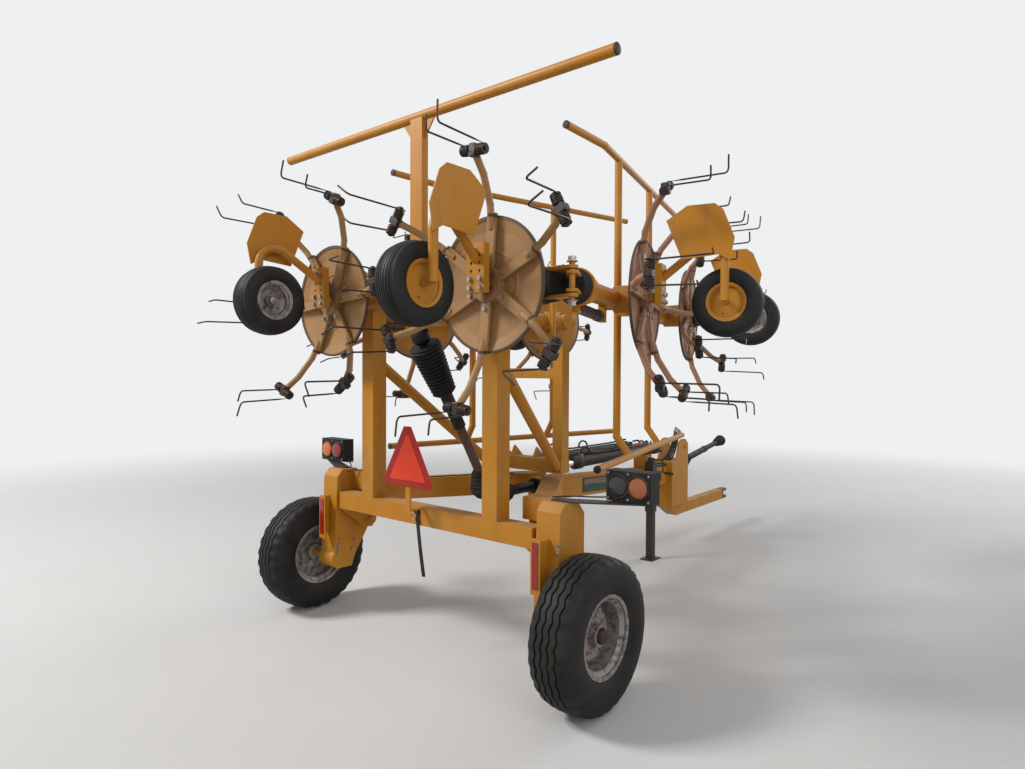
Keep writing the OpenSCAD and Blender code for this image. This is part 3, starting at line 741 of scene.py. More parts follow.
class TEDDER_OT_stage(bpy.types.Operator):
    """Lay the floor and set the lamps and the camera"""

    bl_idname = "tedder.stage"
    bl_label = "Stage"

    def floor_finish(self):
        """A pale floor that fades into the background with distance."""
        finish = Finish("pale_floor", 0.0, 0.9)
        patches = finish.ramp(finish.noise(1.3, 4), 0.3, 0.7)
        finish.set(Base_Color=finish.mix(patches, (0.575, 0.565, 0.55), (0.595, 0.585, 0.57)))
        x, y, _ = finish.local(Matrix.Identity(4))
        fade = finish.ramp(finish.reach(x, y), 4.0, 12.0)
        fade.node.interpolation_type = "SMOOTHSTEP"
        finish.show("Material Output", fade, finish.shader, finish.add("ShaderNodeBsdfTransparent"))
        return finish

    def execute(self, context):
        floor_finish = self.floor_finish()
        bm = bmesh.new()
        bmesh.ops.create_grid(bm, x_segments=1, y_segments=1, size=40)
        floor = from_bmesh("floor", bm)
        floor.data.materials.append(floor_finish.material)
        floor.location.z = -0.001

        world = bpy.data.worlds.new("studio")
        world.use_nodes = True
        bpy.context.scene.world = world
        sky = NodeTree(world.node_tree)
        light = world.node_tree.nodes["Background"]
        sky.feed(light.inputs["Color"], (0.85, 0.86, 0.88))
        sky.feed(light.inputs["Strength"], 0.42)
        rays = sky.add("ShaderNodeLightPath").outputs
        seen = rays["Is Camera Ray"]
        for kind in ("Is Glossy Ray", "Is Transmission Ray"):
            seen = sky.math("MAXIMUM", seen, rays[kind])
        sky.show("World Output", seen, light, sky.add("ShaderNodeBackground", Color=(0.86, 0.87, 0.88)))

        for name, place, energy, size in (
            ("key", (-7.5, 5.5, 8.0), 1000, 2.5),
            ("fill", (-4.5, -7.5, 4.5), 190, 5.0),
            ("front", (7.0, -2.5, 5.5), 220, 5.0),
        ):
            lamp = bpy.data.lights.new(name, "AREA")
            lamp.energy = energy
            lamp.size = size
            obj = new_object(name, lamp)
            obj.location = place
            obj.rotation_euler = (Vector((0, 0, 1.2)) - Vector(place)).to_track_quat("-Z", "Y").to_euler()

        data = bpy.data.cameras.new("photo_view")
        data.sensor_width = 36.0
        data.lens = 675.2 / 1025 * 36.0
        camera = new_object("photo_view", data)
        turn, pitch, roll = math.radians(39.45), math.radians(-1.1), math.radians(0.28)
        view = Vector((math.cos(turn) * math.cos(pitch), math.sin(turn) * math.cos(pitch), math.sin(pitch)))
        camera.matrix_world = (
            Matrix.Translation(at(-2.824, -2.997, 1.682))
            @ view.to_track_quat("-Z", "Y").to_matrix().to_4x4()
            @ Matrix.Rotation(roll, 4, "Z")
        )
        bpy.context.scene.camera = camera
        bpy.context.scene.view_settings.view_transform = "Standard"
        return {"FINISHED"}


def tyre_mesh(name, radius, bore, width, ribs, groove, zigzag, waves, steps, notches):
    """A ribbed tyre about Z: grooves wander by zigzag, waves times a turn, and the shoulders are notched."""
    side = radius - bore
    crown = 0.012
    tread_w = width * 0.76
    pitch = tread_w / ribs
    slot_w = pitch * 0.17

    def height(v):
        return radius - crown * (2 * v / tread_w) ** 2

    profile = [
        (bore, -width * 0.36, 0, 0), (bore + 0.014, -width * 0.36, 0, 0), (bore + 0.016, -width * 0.36 - 0.013, 0, 0),
        (bore + side * 0.22, -width * 0.468, 0, 0), (bore + side * 0.35, -width * 0.487, 0, 0),
        (bore + side * 0.55, -width * 0.497, 0, 0), (bore + side * 0.74, -width * 0.478, 0, 0),
        (bore + side * 0.84, -width * 0.448, 0, 0), (bore + side * 0.90, -width * 0.425, 0, 1),
    ]
    left = [(height(-tread_w / 2), -tread_w / 2, 0, 1)]
    for k in range(1, ribs):
        centre = -tread_w / 2 + k * pitch
        for dv, depth in ((-slot_w, 0), (-slot_w * 0.6, groove), (slot_w * 0.6, groove), (slot_w, 0)):
            left.append((height(centre) - depth, centre + dv, 1, 0))
        if k < ribs - 1:
            left.append((height(centre + pitch / 2), centre + pitch / 2, 0.5, 0))
    right = [(height(tread_w / 2), tread_w / 2, 0, 1)]
    profile = profile + left + right + [(r, -v, z, n) for r, v, z, n in reversed(profile)]
    rings = []
    for s in range(steps):
        turn = 2 * math.pi * s / steps
        wander = zigzag * (4 * abs((s * waves / steps) % 1 - 0.5) - 1)
        bite = groove * 0.8 if notches and (s * notches // steps) % 2 == 0 else 0
        rings.append([
            ((r - n * bite) * math.cos(turn), (r - n * bite) * math.sin(turn), v + wander * z) for r, v, z, n in profile
        ])
    return closed_rings(name, rings, "tyre", 32)


class TEDDER_OT_tyres(bpy.types.Operator):
    """Mould the transport tyres and the gauge tyres with their ribs"""

    bl_idname = "tedder.tyres"
    bl_label = "Tyres"

    def execute(self, context):
        s = sizes()
        for name, side in (("left", 1), ("right", -1)):
            obj = tyre_mesh(f"tyre_tread_{name}", 0.385, 0.195, 0.25, s.ribs, s.tread, 0.006, 30, 240, 60)
            place_mesh(obj, turn_to(at(0, side * WHEEL_Y, AXLE_Z), (0, side, 0)))
            fit(obj, f"wheel_{name}", f"tyre_{name}")
        for number, row, left, _, side, _ in ROTORS:
            obj = tyre_mesh(f"gauge_tread_{number}", 0.2025, 0.102, 0.15, s.fine_ribs, 0.004, 0.0, 0, 96, 0)
            place_mesh(obj, gauge_matrix(row, left, side))
            fit(obj, f"gauge_wheel_{number}", f"gauge_tyre_{number}")
        return {"FINISHED"}


def coil_run(side):
    """The path of one tine: its coil about a line along Y, then its leg with a hooked tip."""
    s = sizes()
    radius = s.coil / 2 - s.wire / 2
    pitch = s.wire * COIL_PITCH
    share = 1.0 if side > 0 else 0.78
    reach = share * (TIP_R - COIL_R - s.coil / 2)
    fall = share * (TIP_DROP - COIL_DROP)
    per_turn = 14
    points = []
    for k in range(s.turns * per_turn + 1):
        a = 2 * math.pi * k / per_turn
        y = side * (COIL_Y + pitch * k / per_turn)
        points.append((COIL_R + radius * math.cos(a), y, -COIL_DROP + radius * math.sin(a)))
    start = Vector((COIL_R + radius, y, -COIL_DROP))
    knee = start + Vector((reach * 0.10, side * 0.008, -fall * 0.985))
    tip = start + Vector((reach, side * 0.008, -fall))
    points += [start.lerp(knee, k / 4) for k in range(1, 4)]
    a, b = knee.lerp(start, 0.07), knee.lerp(tip, 0.35)
    for k in range(7):
        t = k / 6
        points.append(a * (1 - t) ** 2 + knee * 2 * t * (1 - t) + b * t ** 2)
    return points + [tip]


class TEDDER_OT_tines(bpy.types.Operator):
    """Wind the pairs of sprung tines, clamp them to the arms and set them round each rotor"""

    bl_idname = "tedder.tines"
    bl_label = "Tines"

    def execute(self, context):
        s = sizes()
        for number, row, left, phase, _, _ in ROTORS:
            wires = edges_object(f"tine_wires_{number}", [coil_run(1), coil_run(-1)])
            GROWTHS["wire"].grow(wires, Radius=s.wire / 2, Sides=7, Material=MATERIALS["tine_steel"])
            clamp = self.clamp(number)
            for piece, slot, node in ((wires, "tine_steel", f"tines_{number}"), (clamp, "dark_steel", None)):
                GROWTHS["copies"].grow(piece, Count=ARMS, Phase=math.radians(phase), Material=MATERIALS[slot])
                place_mesh(piece, rotor_matrix(row, left))
                fit(piece, f"reel_{number}", node)
        return {"FINISHED"}

    def clamp(self, number):
        """The bolt through both coils, its end plates and the saddle on the arm's end."""
        s = sizes()
        end = COIL_Y + s.wire * COIL_PITCH * s.turns + 0.008
        across = turn_to((COIL_R, 0, -COIL_DROP), (0, 1, 0))
        parts = [lathe("core", rod(0.0175, -end, end), "dark_steel", across, 20)]
        for side in (-1, 1):
            y = side * end
            parts.append(lathe("end", rod(0.027, y - 0.002, y + 0.002), "dark_steel", across, 20))
            parts.append(lathe("nut", rod(0.013, y, y + side * 0.012), "dark_steel", across, 6))
        saddle = [(-0.032, -0.021), (0.030, -0.021), (0.034, -0.012), (0.034, 0.012), (0.030, 0.021), (-0.032, 0.021)]
        seat = Matrix.Translation((COIL_R - 0.002, 0, -COIL_DROP + 0.004))
        parts.append(slab("saddle", saddle, -0.024, 0.024, "dark_steel", seat, 0.004))
        return joined(f"tine_clamps_{number}", parts)


class TEDDER_OT_rims(bpy.types.Operator):
    """Fit hub caps, wheel nuts, and covers with valve holes to the rims"""

    bl_idname = "tedder.rims"
    bl_label = "Rims"

    def execute(self, context):
        for name, side in (("left", 1), ("right", -1)):
            hub = at(0, side * (WHEEL_Y - 0.015), AXLE_Z)
            out = turn_to(hub, (0, side, 0))
            cap = [(0.0, 0.048), (0.036, 0.048), (0.040, 0.056), (0.040, 0.088), (0.034, 0.100), (0.012, 0.106)]
            cap.append((0.0, 0.106))
            piece = lathe(f"hub_cap_{name}", cap, "dark_steel", out, 40)
            fit(piece, f"wheel_{name}")
            nuts = []
            for k in range(6):
                a = math.radians(60 * k + 12)
                nuts.append((hub + Vector((0.085 * math.cos(a), side * 0.004, 0.085 * math.sin(a))), (0, side, 0)))
            bolt_heads(f"wheel_nuts_{name}", nuts, f"wheel_{name}", 1.15)
        for number, row, left, _, side, _ in ROTORS:
            matrix = gauge_matrix(row, left, side)
            cap = [(0.0, 0.0), (0.026, 0.0), (0.026, 0.03), (0.019, 0.042), (0.0, 0.046)]
            piece = lathe(f"gauge_cap_{number}", cap, "zinc", matrix, 28)
            fit(piece, f"gauge_wheel_{number}")
            if number in (2, 3, 5, 6):
                self.cover(number, matrix)
        return {"FINISHED"}

    def cover(self, number, matrix):
        """The flat cover on the leg's side of a painted gauge rim, with its valve hole."""
        disc = [(0.0165, -0.0435), (0.085, -0.0435), (0.0885, -0.0425), (0.0885, -0.0405), (0.0165, -0.0405)]
        plate = lathe("cover", disc, "yellow_paint", matrix, 64)
        hole = matrix @ turn_to((0.066, 0.02, -0.0435), (0, 0, -1))
        valve = lathe("valve", rod(0.0055, 0.0, 0.0006), "black_plastic", hole, 16)
        fit(joined(f"gauge_cover_{number}", [plate, valve]), f"gauge_wheel_{number}")


class TEDDER_OT_rotor_bolts(bpy.types.Operator):
    """Bolt the arms to the discs and the hub plates to the stems"""

    bl_idname = "tedder.rotor_bolts"
    bl_label = "Rotor bolts"

    def execute(self, context):
        for number, row, left, phase, _, carrier in ROTORS:
            matrix = rotor_matrix(row, left)
            down = matrix.to_3x3() @ Vector((0, 0, -1))
            places = []
            for k in range(ARMS):
                a = math.radians(phase + 60 * k)
                for r in (0.125, 0.335):
                    places.append((matrix @ Vector((r * math.cos(a), r * math.sin(a), -0.030)), down))
            bolt_heads(f"arm_bolts_{number}", places, f"reel_{number}", 0.9)
            plate = []
            for x, y in ((-0.02, -0.035), (-0.02, 0.035), (0.025, -0.035), (0.025, 0.035), (-0.165, 0.0)):
                plate.append((matrix @ Vector((x, y, -PLATE_DROP - PLATE_T)), down))
            bolt_heads(f"plate_bolts_{number}", plate, carrier, 1.0)
        return {"FINISHED"}


class TEDDER_OT_leg_bolts(bpy.types.Operator):
    """Run the bolt rows down the wheel legs and along the cart"""

    bl_idname = "tedder.leg_bolts"
    bl_label = "Cart bolts"

    def execute(self, context):
        places = []
        for side in (-1, 1):
            inner = side * LEG_Y
            for x, z in (
                (0.02, 0.95), (0.015, 0.90), (0.01, 0.85), (-0.005, 0.52),
                (-0.012, 0.48), (-0.02, 0.44), (0.10, 0.44), (0.12, 0.50),
            ):
                places.append((at(x, inner, z), (0, -side, 0)))
            for z in (0.56, 0.60, 0.76, 0.80):
                places.append((at(-0.04, side * (LEG_Y + LEG_T), z), (0, side, 0)))
        bolt_heads("leg_bolts", places, "cart", 0.75)
        return {"FINISHED"}


class TEDDER_OT_boots(bpy.types.Operator):
    """Pleat the boot over the tilt shaft's upper joint"""

    bl_idname = "tedder.boots"
    bl_label = "Boots"

    def execute(self, context):
        s = sizes()
        low, high = at(*SHAFT_FOOT), at(*SHAFT_HEAD)
        way = (high - low).normalized()
        length = (high - low).length
        top = edges_object("boot_top", [[low + way * (length - 0.39), low + way * (length - 0.0615)]])
        GROWTHS["boot"].grow(
            top, Start=0.068, End=0.094, Depth=0.009, Folds=s.folds, Sides=40, Material=MATERIALS["black_parts"]
        )
        fit(top, "shaft_upper")
        return {"FINISHED"}


class TEDDER_OT_triangle(bpy.types.Operator):
    """Lay the warning triangle's border and its inner film"""

    bl_idname = "tedder.triangle"
    bl_label = "Warning triangle"

    def execute(self, context):
        outer = [
            (-0.205, 0.02), (-0.205, 0.045), (-0.03, 0.356), (0.03, 0.356),
            (0.205, 0.045), (0.205, 0.02), (0.19, 0.0), (-0.19, 0.0),
        ]
        inner = [(-0.152, 0.038), (-0.152, 0.046), (-0.012, 0.30), (0.012, 0.30), (0.152, 0.046), (0.152, 0.038)]
        facing = Matrix(((0, 0, -1, 0), (-1, 0, 0, 0), (0, 1, 0, 0), (0, 0, 0, 1)))
        base = Matrix.Translation(at(-0.1541, 0, 1.0)) @ facing
        border = slab("triangle_border", outer, 0.0, 0.0006, "warning_red", base, 0)
        film = slab("triangle_face", inner, 0.0006, 0.0012, "warning_orange", base, 0)
        for piece in (border, film):
            fit(piece, "lift")
        return {"FINISHED"}


def smooth_run(points, steps=6):
    """Points along a smooth line through the given ones."""
    p = [Vector(v) for v in points]
    p = [p[0] * 2 - p[1]] + p + [p[-1] * 2 - p[-2]]
    line = []
    for k in range(1, len(p) - 2):
        for s in range(steps):
            t = s / steps
            line.append(
                0.5 * (2 * p[k] + (p[k + 1] - p[k - 1]) * t
                       + (2 * p[k - 1] - 5 * p[k] + 4 * p[k + 1] - p[k + 2]) * t ** 2
                       + (3 * p[k] - p[k - 1] - 3 * p[k + 1] + p[k + 2]) * t ** 3)
            )
    line.append(p[-2])
    return line


def hose(name, runs, radius, body, material="black_plastic", sides=10):
    """Hoses, pipes or bent rods along smooth runs of places from the transport axle, as one piece on a body."""
    obj = edges_object(name, [smooth_run([at(*p) for p in run]) for run in runs])
    GROWTHS["wire"].grow(obj, Radius=radius, Sides=sides, Material=MATERIALS[material])
    fit(obj, body)


def ribbed(start, end, low, high, folds, depth):
    """A lathe outline of a pleated sleeve, from height start to end, radius low to high, closed on its axis."""
    outline = [(0.0, start)]
    for k in range(2 * folds + 1):
        t = k / (2 * folds)
        outline.append((low + (high - low) * t + (depth if k % 2 else 0), start + (end - start) * t))
    return outline + [(0.0, end)]


class TEDDER_OT_lamps(bpy.types.Operator):
    """Fit the lamps' lenses and bezels"""

    bl_idname = "tedder.lamps"
    bl_label = "Lamps"

    def execute(self, context):
        lenses, rings = [], []
        for y, material in ((-1.20, "dark_lens"), (-1.32, "brown_lens"), (1.20, "red_lens"), (1.32, "lamp_lens")):
            facing = turn_to(at(0.245, y, 1.09), (-1, 0, 0))
            dome = [(0.0, 0.0), (0.054, 0.0), (0.054, 0.024), (0.050, 0.030), (0.036, 0.0345), (0.018, 0.0365)]
            dome.append((0.0, 0.037))
            lenses.append(lathe("lens", dome, material, facing, 40))
            ring = [(0.0555, 0.018), (0.064, 0.018), (0.064, 0.024), (0.061, 0.028), (0.0555, 0.028)]
            rings.append(lathe("bezel", ring, "black_plastic", facing, 40))
        glass = joined("lamp_glass", lenses)
        fit(glass, "cart", "lamp_lenses")
        bezels = joined("lamp_bezels", rings)
        fit(bezels, "cart")
        screws = []
        for y in (1.142, 1.26, 1.378):
            for side in (-1, 1):
                for z in (1.024, 1.156):
                    screws.append((at(0.225, side * y, z), (-1, 0, 0)))
        bolt_heads("lamp_screws", screws, "cart", 0.4)
        return {"FINISHED"}


class TEDDER_OT_panels(bpy.types.Operator):
    """Lay the blank films on the drawbar's side panels"""

    bl_idname = "tedder.panels"
    bl_label = "Blank panels"

    def execute(self, context):
        films = (
            ("grey_film", 1.64, 2.12, -0.034, -0.080),
            ("green_film", 1.64, 2.12, -0.084, -0.132),
            ("pale_film", 2.14, 2.94, -0.030, -0.034),
            ("pale_film", 2.14, 2.94, -0.131, -0.135),
        )
        parts = []
        for side in (-1, 1):
            upright = turn_to((0, side * 0.0622, 0), (0, side, 0))
            for material, x0, x1, high, low in films:
                corners = ((x0, low), (x1, low), (x1, high), (x0, high))
                outline = [at(x, 0, self.top(x) + z) for x, z in corners]
                local = [tuple((upright.inverted() @ v).xy) for v in outline]
                parts.append(slab("film", local, 0.0, 0.0006, material, upright, 0))
        fit(joined("panel_films", parts), "cart")
        return {"FINISHED"}

    def top(self, x):
        return 0.905 - (x - 1.08) * 0.06


class TEDDER_OT_cylinders(bpy.types.Operator):
    """Fit glands, ports, pins and hoses to the lift cylinders"""

    bl_idname = "tedder.cylinders"
    bl_label = "Cylinders"

    def execute(self, context):
        base, eye = Vector(CYLINDER_BASE), Vector(CYLINDER_EYE)
        way = (eye - base).normalized()
        glands, pipes = [], []
        for side in (-1, 1):
            def along(t, rise=0.0, out=0.0):
                p = base + way * t
                return p.x, side * (p.y + out), p.z + rise

            turned = turn_to(at(*along(1.26)), way)
            gland = [
                (0.040, 0.0), (0.050, 0.0), (0.050, 0.074), (0.046, 0.080),
                (0.0245, 0.084), (0.0245, 0.076), (0.040, 0.070),
            ]
            glands.append(lathe("gland", gland, "black_plastic", turned, 40))
            cap = [(0.040, -0.012), (0.047, -0.012), (0.047, 0.03), (0.040, 0.03)]
            glands.append(lathe("cap", cap, "black_plastic", turn_to(at(*along(0.06)), way), 40))
            for t in (0.11, 1.24):
                upright = turn_to(at(*along(t)), (0, 0, 1))
                glands.append(lathe("port", rod(0.016, 0.036, 0.058), "zinc", upright, 6))
            pipes += [[along(*p) for p in run] for run in (
                ((1.24, 0.055), (1.24, 0.085), (1.21, 0.108), (1.15, 0.100), (1.10, 0.062), (0.9, 0.052)),
                ((0.9, 0.052), (0.6, 0.051), (0.3, 0.052), (0.20, 0.058), (0.15, 0.066, -0.02), (0.13, 0.07, -0.05)),
                [(t, rise, 0.02) for t, rise in LOOP],
            )]
        fit(joined("cylinder_fittings", glands), "barrels")
        hose("cylinder_hoses", pipes, 0.0075, "barrels")
        pins = []
        for side in (-1, 1):
            for edge in (-1, 1):
                place = turn_to(at(eye.x, side * (eye.y + edge * 0.052), eye.z), (0, side * edge, 0))
                head = [(0.0, -0.012), (0.0155, -0.012), (0.0155, 0.008), (0.024, 0.008), (0.024, 0.016), (0.0, 0.016)]
                pins.append(lathe("pin", head, "zinc", place, 28))
        fit(joined("cylinder_pins", pins), "lift")
        return {"FINISHED"}


class TEDDER_OT_hoses(bpy.types.Operator):
    """Clip the hoses along the drawbar, the beams and the posts"""

    bl_idname = "tedder.hoses"
    bl_label = "Hoses"

    def execute(self, context):
        drawbar = []
        for y in COUPLINGS:
            drawbar.append([
                (3.40, y * 0.7, 1.075 + y * 0.5), (3.37, y * 0.7, 1.03), (3.29, y * 0.8, 0.90), (3.20, y, 0.845),
                (3.05, y, 0.800), (2.95, y, 0.806), (2.80, y, 0.820), (2.775, y, 0.90),
                (2.74, y * 1.6, 1.04), (2.68, y * 2.6, 1.045),
            ])
        hose("drawbar_hoses", drawbar, 0.008, "cart")
        beam = []
        for z in (ROTOR_Z + 0.062, ROTOR_Z + 0.075):
            beam += [
                [(0.02, -0.88, z), (0.03, -0.5, z), (0.06, -0.12, z), (0.09, 0.0, ROTOR_Z - 0.02), (0.085, -0.1, 1.98)],
                [(0.02, 0.88, z), (0.03, 0.5, z), (0.06, 0.13, z), (0.095, 0.02, ROTOR_Z - 0.03)],
            ]
        for y in (-0.565, -0.545):
            beam.append([
                (0.095, y + 0.10, 2.06), (0.093, y, 1.98), (0.094, y, 1.6),
                (0.094, y, 1.2), (0.094, y, 0.98), (0.10, y + 0.06, 0.90),
            ])
        hose("beam_hoses", beam, 0.0065, "lift")
        cables = [
            [(0.10, s * 0.87, 1.012), (0.16, s * 0.95, 1.016), (0.24, s * 1.08, 1.016), (0.28, s * 1.14, 1.02)]
            for s in (-1, 1)
        ]
        cables.append([
            (0.06, 0.862, 0.985), (0.13, 0.75, 0.992), (0.28, 0.62, 0.936), (0.62, 0.40, 0.936), (1.0, 0.13, 0.936),
        ])
        hose("lamp_cables", cables, 0.004, "cart")
        tips = []
        for y in COUPLINGS:
            nose = [(0.0, 0.0), (0.012, 0.0), (0.012, 0.03), (0.0095, 0.032), (0.0095, 0.05), (0.0, 0.05)]
            tips.append(lathe("coupler", nose, "zinc", turn_to(at(3.40, y * 0.7, 1.075 + y * 0.5), (0.5, 0, 0.86)), 16))
        fit(joined("hose_couplers", tips), "cart")
        return {"FINISHED"}


class TEDDER_OT_caps(bpy.types.Operator):
    """Plug the ends of the guard tubes"""

    bl_idname = "tedder.caps"
    bl_label = "Caps"

    def execute(self, context):
        rear = [((-0.065, side * 1.35, 3.19), (0, side, 0), 0.029) for side in (-1, 1)]
        self.plug("lift", wing_matrix(False, False), rear)
        ends = [((0.172, -1.607, 3.10), (0.2, 0.98, 0), 0.0225), ((0.082, -4.07, 3.10), (0, -1, 0), 0.0225)]
        ends += [((-0.008, y, 1.12), (0, way, 0), 0.0225) for y, way in ((-1.672, 1), (-4.07, -1))]
        for name, left in (("wing_left", True), ("wing_right", False)):
            self.plug(name, wing_matrix(left), ends)
        return {"FINISHED"}

    def plug(self, body, frame, ends):
        caps = []
        for place, way, radius in ends:
            wide = radius + 0.0006
            outline = [(0.0, -0.006), (wide, -0.006), (wide, 0.003), (radius - 0.004, 0.006), (0.0, 0.006)]
            caps.append(lathe("cap", outline, "black_plastic", frame @ turn_to(place, way), 24))
        fit(joined(f"guard_caps_{body}", caps), body)


class TEDDER_OT_strap(bpy.types.Operator):
    """Hang the tie-down strap, with the ring on its shackle"""

    bl_idname = "tedder.strap"
    bl_label = "Strap"

    def execute(self, context):
        length, width, thick, lean = 0.40, 0.028, 0.0035, math.radians(9)
        top = at(-0.032, 0.05, 0.836)
        path = []
        for k in range(21):
            d = length * k / 20
            path.append(top + Vector((-0.004 * math.sin(math.pi * k / 20), -d * math.sin(lean), -d * math.cos(lean))))
        bm = bmesh.new()
        rows = []
        for p in path:
            side = Vector((0, math.cos(lean), -math.sin(lean))) * width / 2
            out = Vector((thick / 2, 0, 0))
            rows.append([bm.verts.new(p + a * side + b * out) for a, b in ((-1, -1), (1, -1), (1, 1), (-1, 1))])
        for a, b in zip(rows, rows[1:]):
            for k in range(4):
                j = (k + 1) % 4
                bm.faces.new((a[k], a[j], b[j], b[k]))
        bm.faces.new(reversed(rows[0]))
        bm.faces.new(rows[-1])
        bmesh.ops.recalc_face_normals(bm, faces=bm.faces)
        piece = from_bmesh("strap_webbing", bm, "webbing")
        fit(piece, "lift", "hanging_strap")
        ring = []
        for k in range(25):
            a = 2 * math.pi * k / 24
            ring.append((-0.043, 0.066 + 0.019 * math.cos(a), 0.800 + 0.019 * math.sin(a)))
        hose("strap_ring", [ring], 0.0035, "lift", "zinc", 8)
        return {"FINISHED"}


class TEDDER_OT_hinges(bpy.types.Operator):
    """Fit the wing hinges' pin caps, rubber drive boots and fold cylinders"""

    bl_idname = "tedder.hinges"
    bl_label = "Wing hinges"

    def execute(self, context):
        boots = []
        for side in (-1, 1):
            outward = turn_to(at(0, side * 0.885, ROTOR_Z), (0, side, 0))
            boots.append(lathe("boot", ribbed(0.0, 0.085, 0.088, 0.078, 5, 0.008), "black_parts", outward, 44))
            inboard = turn_to(at(0, side * 0.884, ROTOR_Z), (0, -side, 0))
            boots.append(lathe("casting", self.casting(0.11), "yellow_paint", inboard, 44))
        fit(joined("drive_boots", boots), "lift")
        for left, name in ((False, "wing_right"), (True, "wing_left")):
            frame = wing_matrix(left)
            inward = frame @ turn_to((0, -1.325, ROTOR_Z), (0, 1, 0))
            boot = lathe(f"drive_boot_{name}", ribbed(0.0, 0.085, 0.088, 0.078, 5, 0.008), "black_parts", inward, 44)
            fit(boot, name)
            outboard = frame @ turn_to((0, -1.326, ROTOR_Z), (0, -1, 0))
            casting = lathe(f"hinge_casting_{name}", self.casting(0.235), "yellow_paint", outboard, 44)
            fit(casting, name)
            caps = [(frame @ Vector((HINGE[0], HINGE[1], ROTOR_Z + z)), (0, 0, z)) for z in (-0.095, 0.095)]
            bolt_heads(f"hinge_caps_{name}", caps, name, 1.7)
            self.fold_cylinder(name, frame)
        return {"FINISHED"}

    def casting(self, length):
        """The flared casting that carries a hinge's boot and narrows to the beam."""
        flare = [(0.0, 0.0), (0.100, 0.0), (0.104, 0.006), (0.100, 0.04)]
        return flare + [(0.064, length - 0.012), (0.0578, length), (0.0, length)]

    def fold_cylinder(self, name, frame):
        start, end = Vector((0.01, -1.36, ROTOR_Z - 0.105)), Vector((0.01, -1.80, ROTOR_Z - 0.125))
        turned = frame @ turn_to(start, end - start)
        barrel = [
            (0.0, 0.0), (0.024, 0.0), (0.024, 0.02), (0.031, 0.024), (0.031, 0.33),
            (0.035, 0.332), (0.035, 0.37), (0.018, 0.372), (0.018, 0.44), (0.0, 0.44),
        ]
        outline = [(-0.02, -0.03), (0.02, -0.03), (0.02, 0.075), (-0.02, 0.075)]
        parts = [lathe("barrel", barrel, "dark_steel", turned, 32)]
        for p in (start, end):
            place = frame @ Matrix.Translation(p) @ Matrix.Rotation(math.radians(90), 4, "X")
            parts.append(slab("lug", outline, -0.02, 0.02, "yellow_paint", place, 0.002))
        fit(joined(f"fold_cylinder_{name}", parts), name)


class TEDDER_OT_discs(bpy.types.Operator):
    """Press the ring into each disc's underside"""

    bl_idname = "tedder.discs"
    bl_label = "Disc rings"

    def execute(self, context):
        for number, row, left, _, _, _ in ROTORS:
            ring = [(0.166, 0.0098), (0.170, 0.0055), (0.178, 0.0052), (0.182, 0.0090), (0.176, 0.0105)]
            piece = lathe(f"disc_ring_{number}", ring, f"disc_{number}", rotor_matrix(row, left), 96)
            fit(piece, f"reel_{number}")
        return {"FINISHED"}


class TEDDER_OT_drive(bpy.types.Operator):
    """Shape the front drive shaft with its ribbed guards, and the lower joint's boots"""

    bl_idname = "tedder.drive"
    bl_label = "Drive shaft"

    def execute(self, context):
        def between(a, b, outline, material, steps=40):
            start = at(*a)
            return lathe("part", outline, material, turn_to(start, at(*b) - start), steps)

        near, far = (3.50, 0, 0.765), (3.64, 0, 0.812)
        stub = between((3.43, 0, 0.755), (3.52, 0, 0.755), rod(0.025, 0.0, 0.085), "dark_steel", 28)
        bell = between(near, far, ribbed(0.0, 0.148, 0.064, 0.040, 7, 0.005), "black_parts")
        tube = between((3.60, 0, 0.80), (4.42, 0, 0.915), [
            (0.0, 0.0), (0.031, 0.0), (0.031, 0.44), (0.034, 0.443),
            (0.034, 0.468), (0.026, 0.472), (0.026, 0.82), (0.0, 0.82),
        ], "black_parts")
        end = between((4.36, 0, 0.906), (4.50, 0, 0.926), ribbed(0.0, 0.135, 0.036, 0.056, 6, 0.005), "black_parts")
        yoke = [(0.0, 0.13), (0.030, 0.13), (0.034, 0.139), (0.016, 0.141), (0.0, 0.141)]
        fork = between((4.36, 0, 0.906), (4.50, 0, 0.926), yoke, "dark_steel", 28)
        shaft = joined("drive_shaft", [stub, bell, tube, end, fork])
        fit(shaft, "cart", "pto_shaft")

        forward = turn_to(at(0.646, 0, 0.85), (1, 0, 0))
        cup = lathe("joint_cup", ribbed(0.0, 0.135, 0.096, 0.048, 6, 0.010), "black_parts", forward, 48)
        fit(cup, "cart")
        low, high = at(*SHAFT_FOOT), at(*SHAFT_HEAD)
        way = (high - low).normalized()
        bulge = ribbed(0.031, 0.09, 0.080, 0.102, 3, 0.006)[:-1] + ribbed(0.09, 0.21, 0.102, 0.046, 5, 0.006)[1:]
        sleeve = lathe("joint_sleeve", bulge, "black_parts", turn_to(low, way), 48)
        fit(sleeve, "shaft_lower")
        return {"FINISHED"}


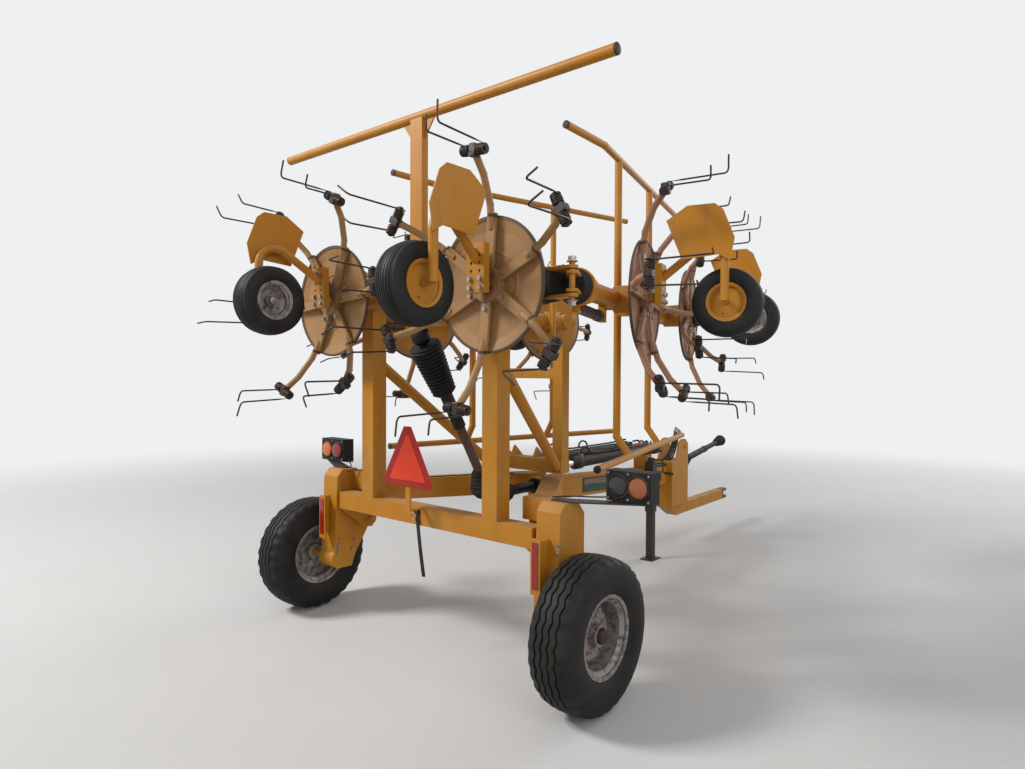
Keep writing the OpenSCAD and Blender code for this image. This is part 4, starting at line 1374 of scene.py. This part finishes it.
class TEDDER_OT_jack(bpy.types.Operator):
    """Bend the jack's crank handle"""

    bl_idname = "tedder.jack"
    bl_label = "Jack crank"

    def execute(self, context):
        bends = (
            (-0.215, 0.90), (-0.222, 0.90), (-0.228, 0.895), (-0.229, 0.885),
            (-0.229, 0.80), (-0.233, 0.792), (-0.245, 0.788), (-0.31, 0.788),
        )
        crank = edges_object("jack_crank", [[at(2.65, y, z) for y, z in bends]])
        GROWTHS["wire"].grow(crank, Radius=0.0072, Sides=12, Material=MATERIALS["dark_steel"])
        outline = [(0.0, 0.0), (0.012, 0.0), (0.013, 0.01), (0.013, 0.07), (0.010, 0.078), (0.0, 0.078)]
        grip = lathe("grip", outline, "black_plastic", turn_to(at(2.65, -0.25, 0.788), (0, -1, 0)), 20)
        fit(joined("jack_handle", [crank, grip]), "cart")
        return {"FINISHED"}


OPERATORS = (
    TEDDER_OT_materials,
    TEDDER_OT_stage,
    TEDDER_OT_solids,
    TEDDER_OT_tyres,
    TEDDER_OT_rims,
    TEDDER_OT_tines,
    TEDDER_OT_rotor_bolts,
    TEDDER_OT_leg_bolts,
    TEDDER_OT_boots,
    TEDDER_OT_triangle,
    TEDDER_OT_lamps,
    TEDDER_OT_panels,
    TEDDER_OT_cylinders,
    TEDDER_OT_hoses,
    TEDDER_OT_caps,
    TEDDER_OT_strap,
    TEDDER_OT_hinges,
    TEDDER_OT_discs,
    TEDDER_OT_drive,
    TEDDER_OT_jack,
)


class TEDDER_PT_panel(bpy.types.Panel):
    """Sizes, colours and the steps that dress the tedder"""

    bl_label = "Tedder"
    bl_idname = "TEDDER_PT_panel"
    bl_space_type = "VIEW_3D"
    bl_region_type = "UI"
    bl_category = "Tedder"

    def draw(self, context):
        for group in (context.scene.tedder_sizes, context.scene.tedder_colours):
            box = self.layout.box()
            for name in group.__annotations__:
                box.prop(group, name)
        for operator in OPERATORS:
            self.layout.operator(operator.bl_idname)


CLASSES = (TedderSizes, TedderColours, *OPERATORS, TEDDER_PT_panel)


def register():
    for cls in CLASSES:
        bpy.utils.register_class(cls)
    bpy.types.Scene.tedder_sizes = bpy.props.PointerProperty(type=TedderSizes)
    bpy.types.Scene.tedder_colours = bpy.props.PointerProperty(type=TedderColours)


def unregister():
    del bpy.types.Scene.tedder_colours
    del bpy.types.Scene.tedder_sizes
    for cls in reversed(CLASSES):
        bpy.utils.unregister_class(cls)


def main():
    register()
    for operator in OPERATORS:
        getattr(bpy.ops.tedder, operator.bl_idname.split(".")[1])()


if __name__ == "__main__":
    main()
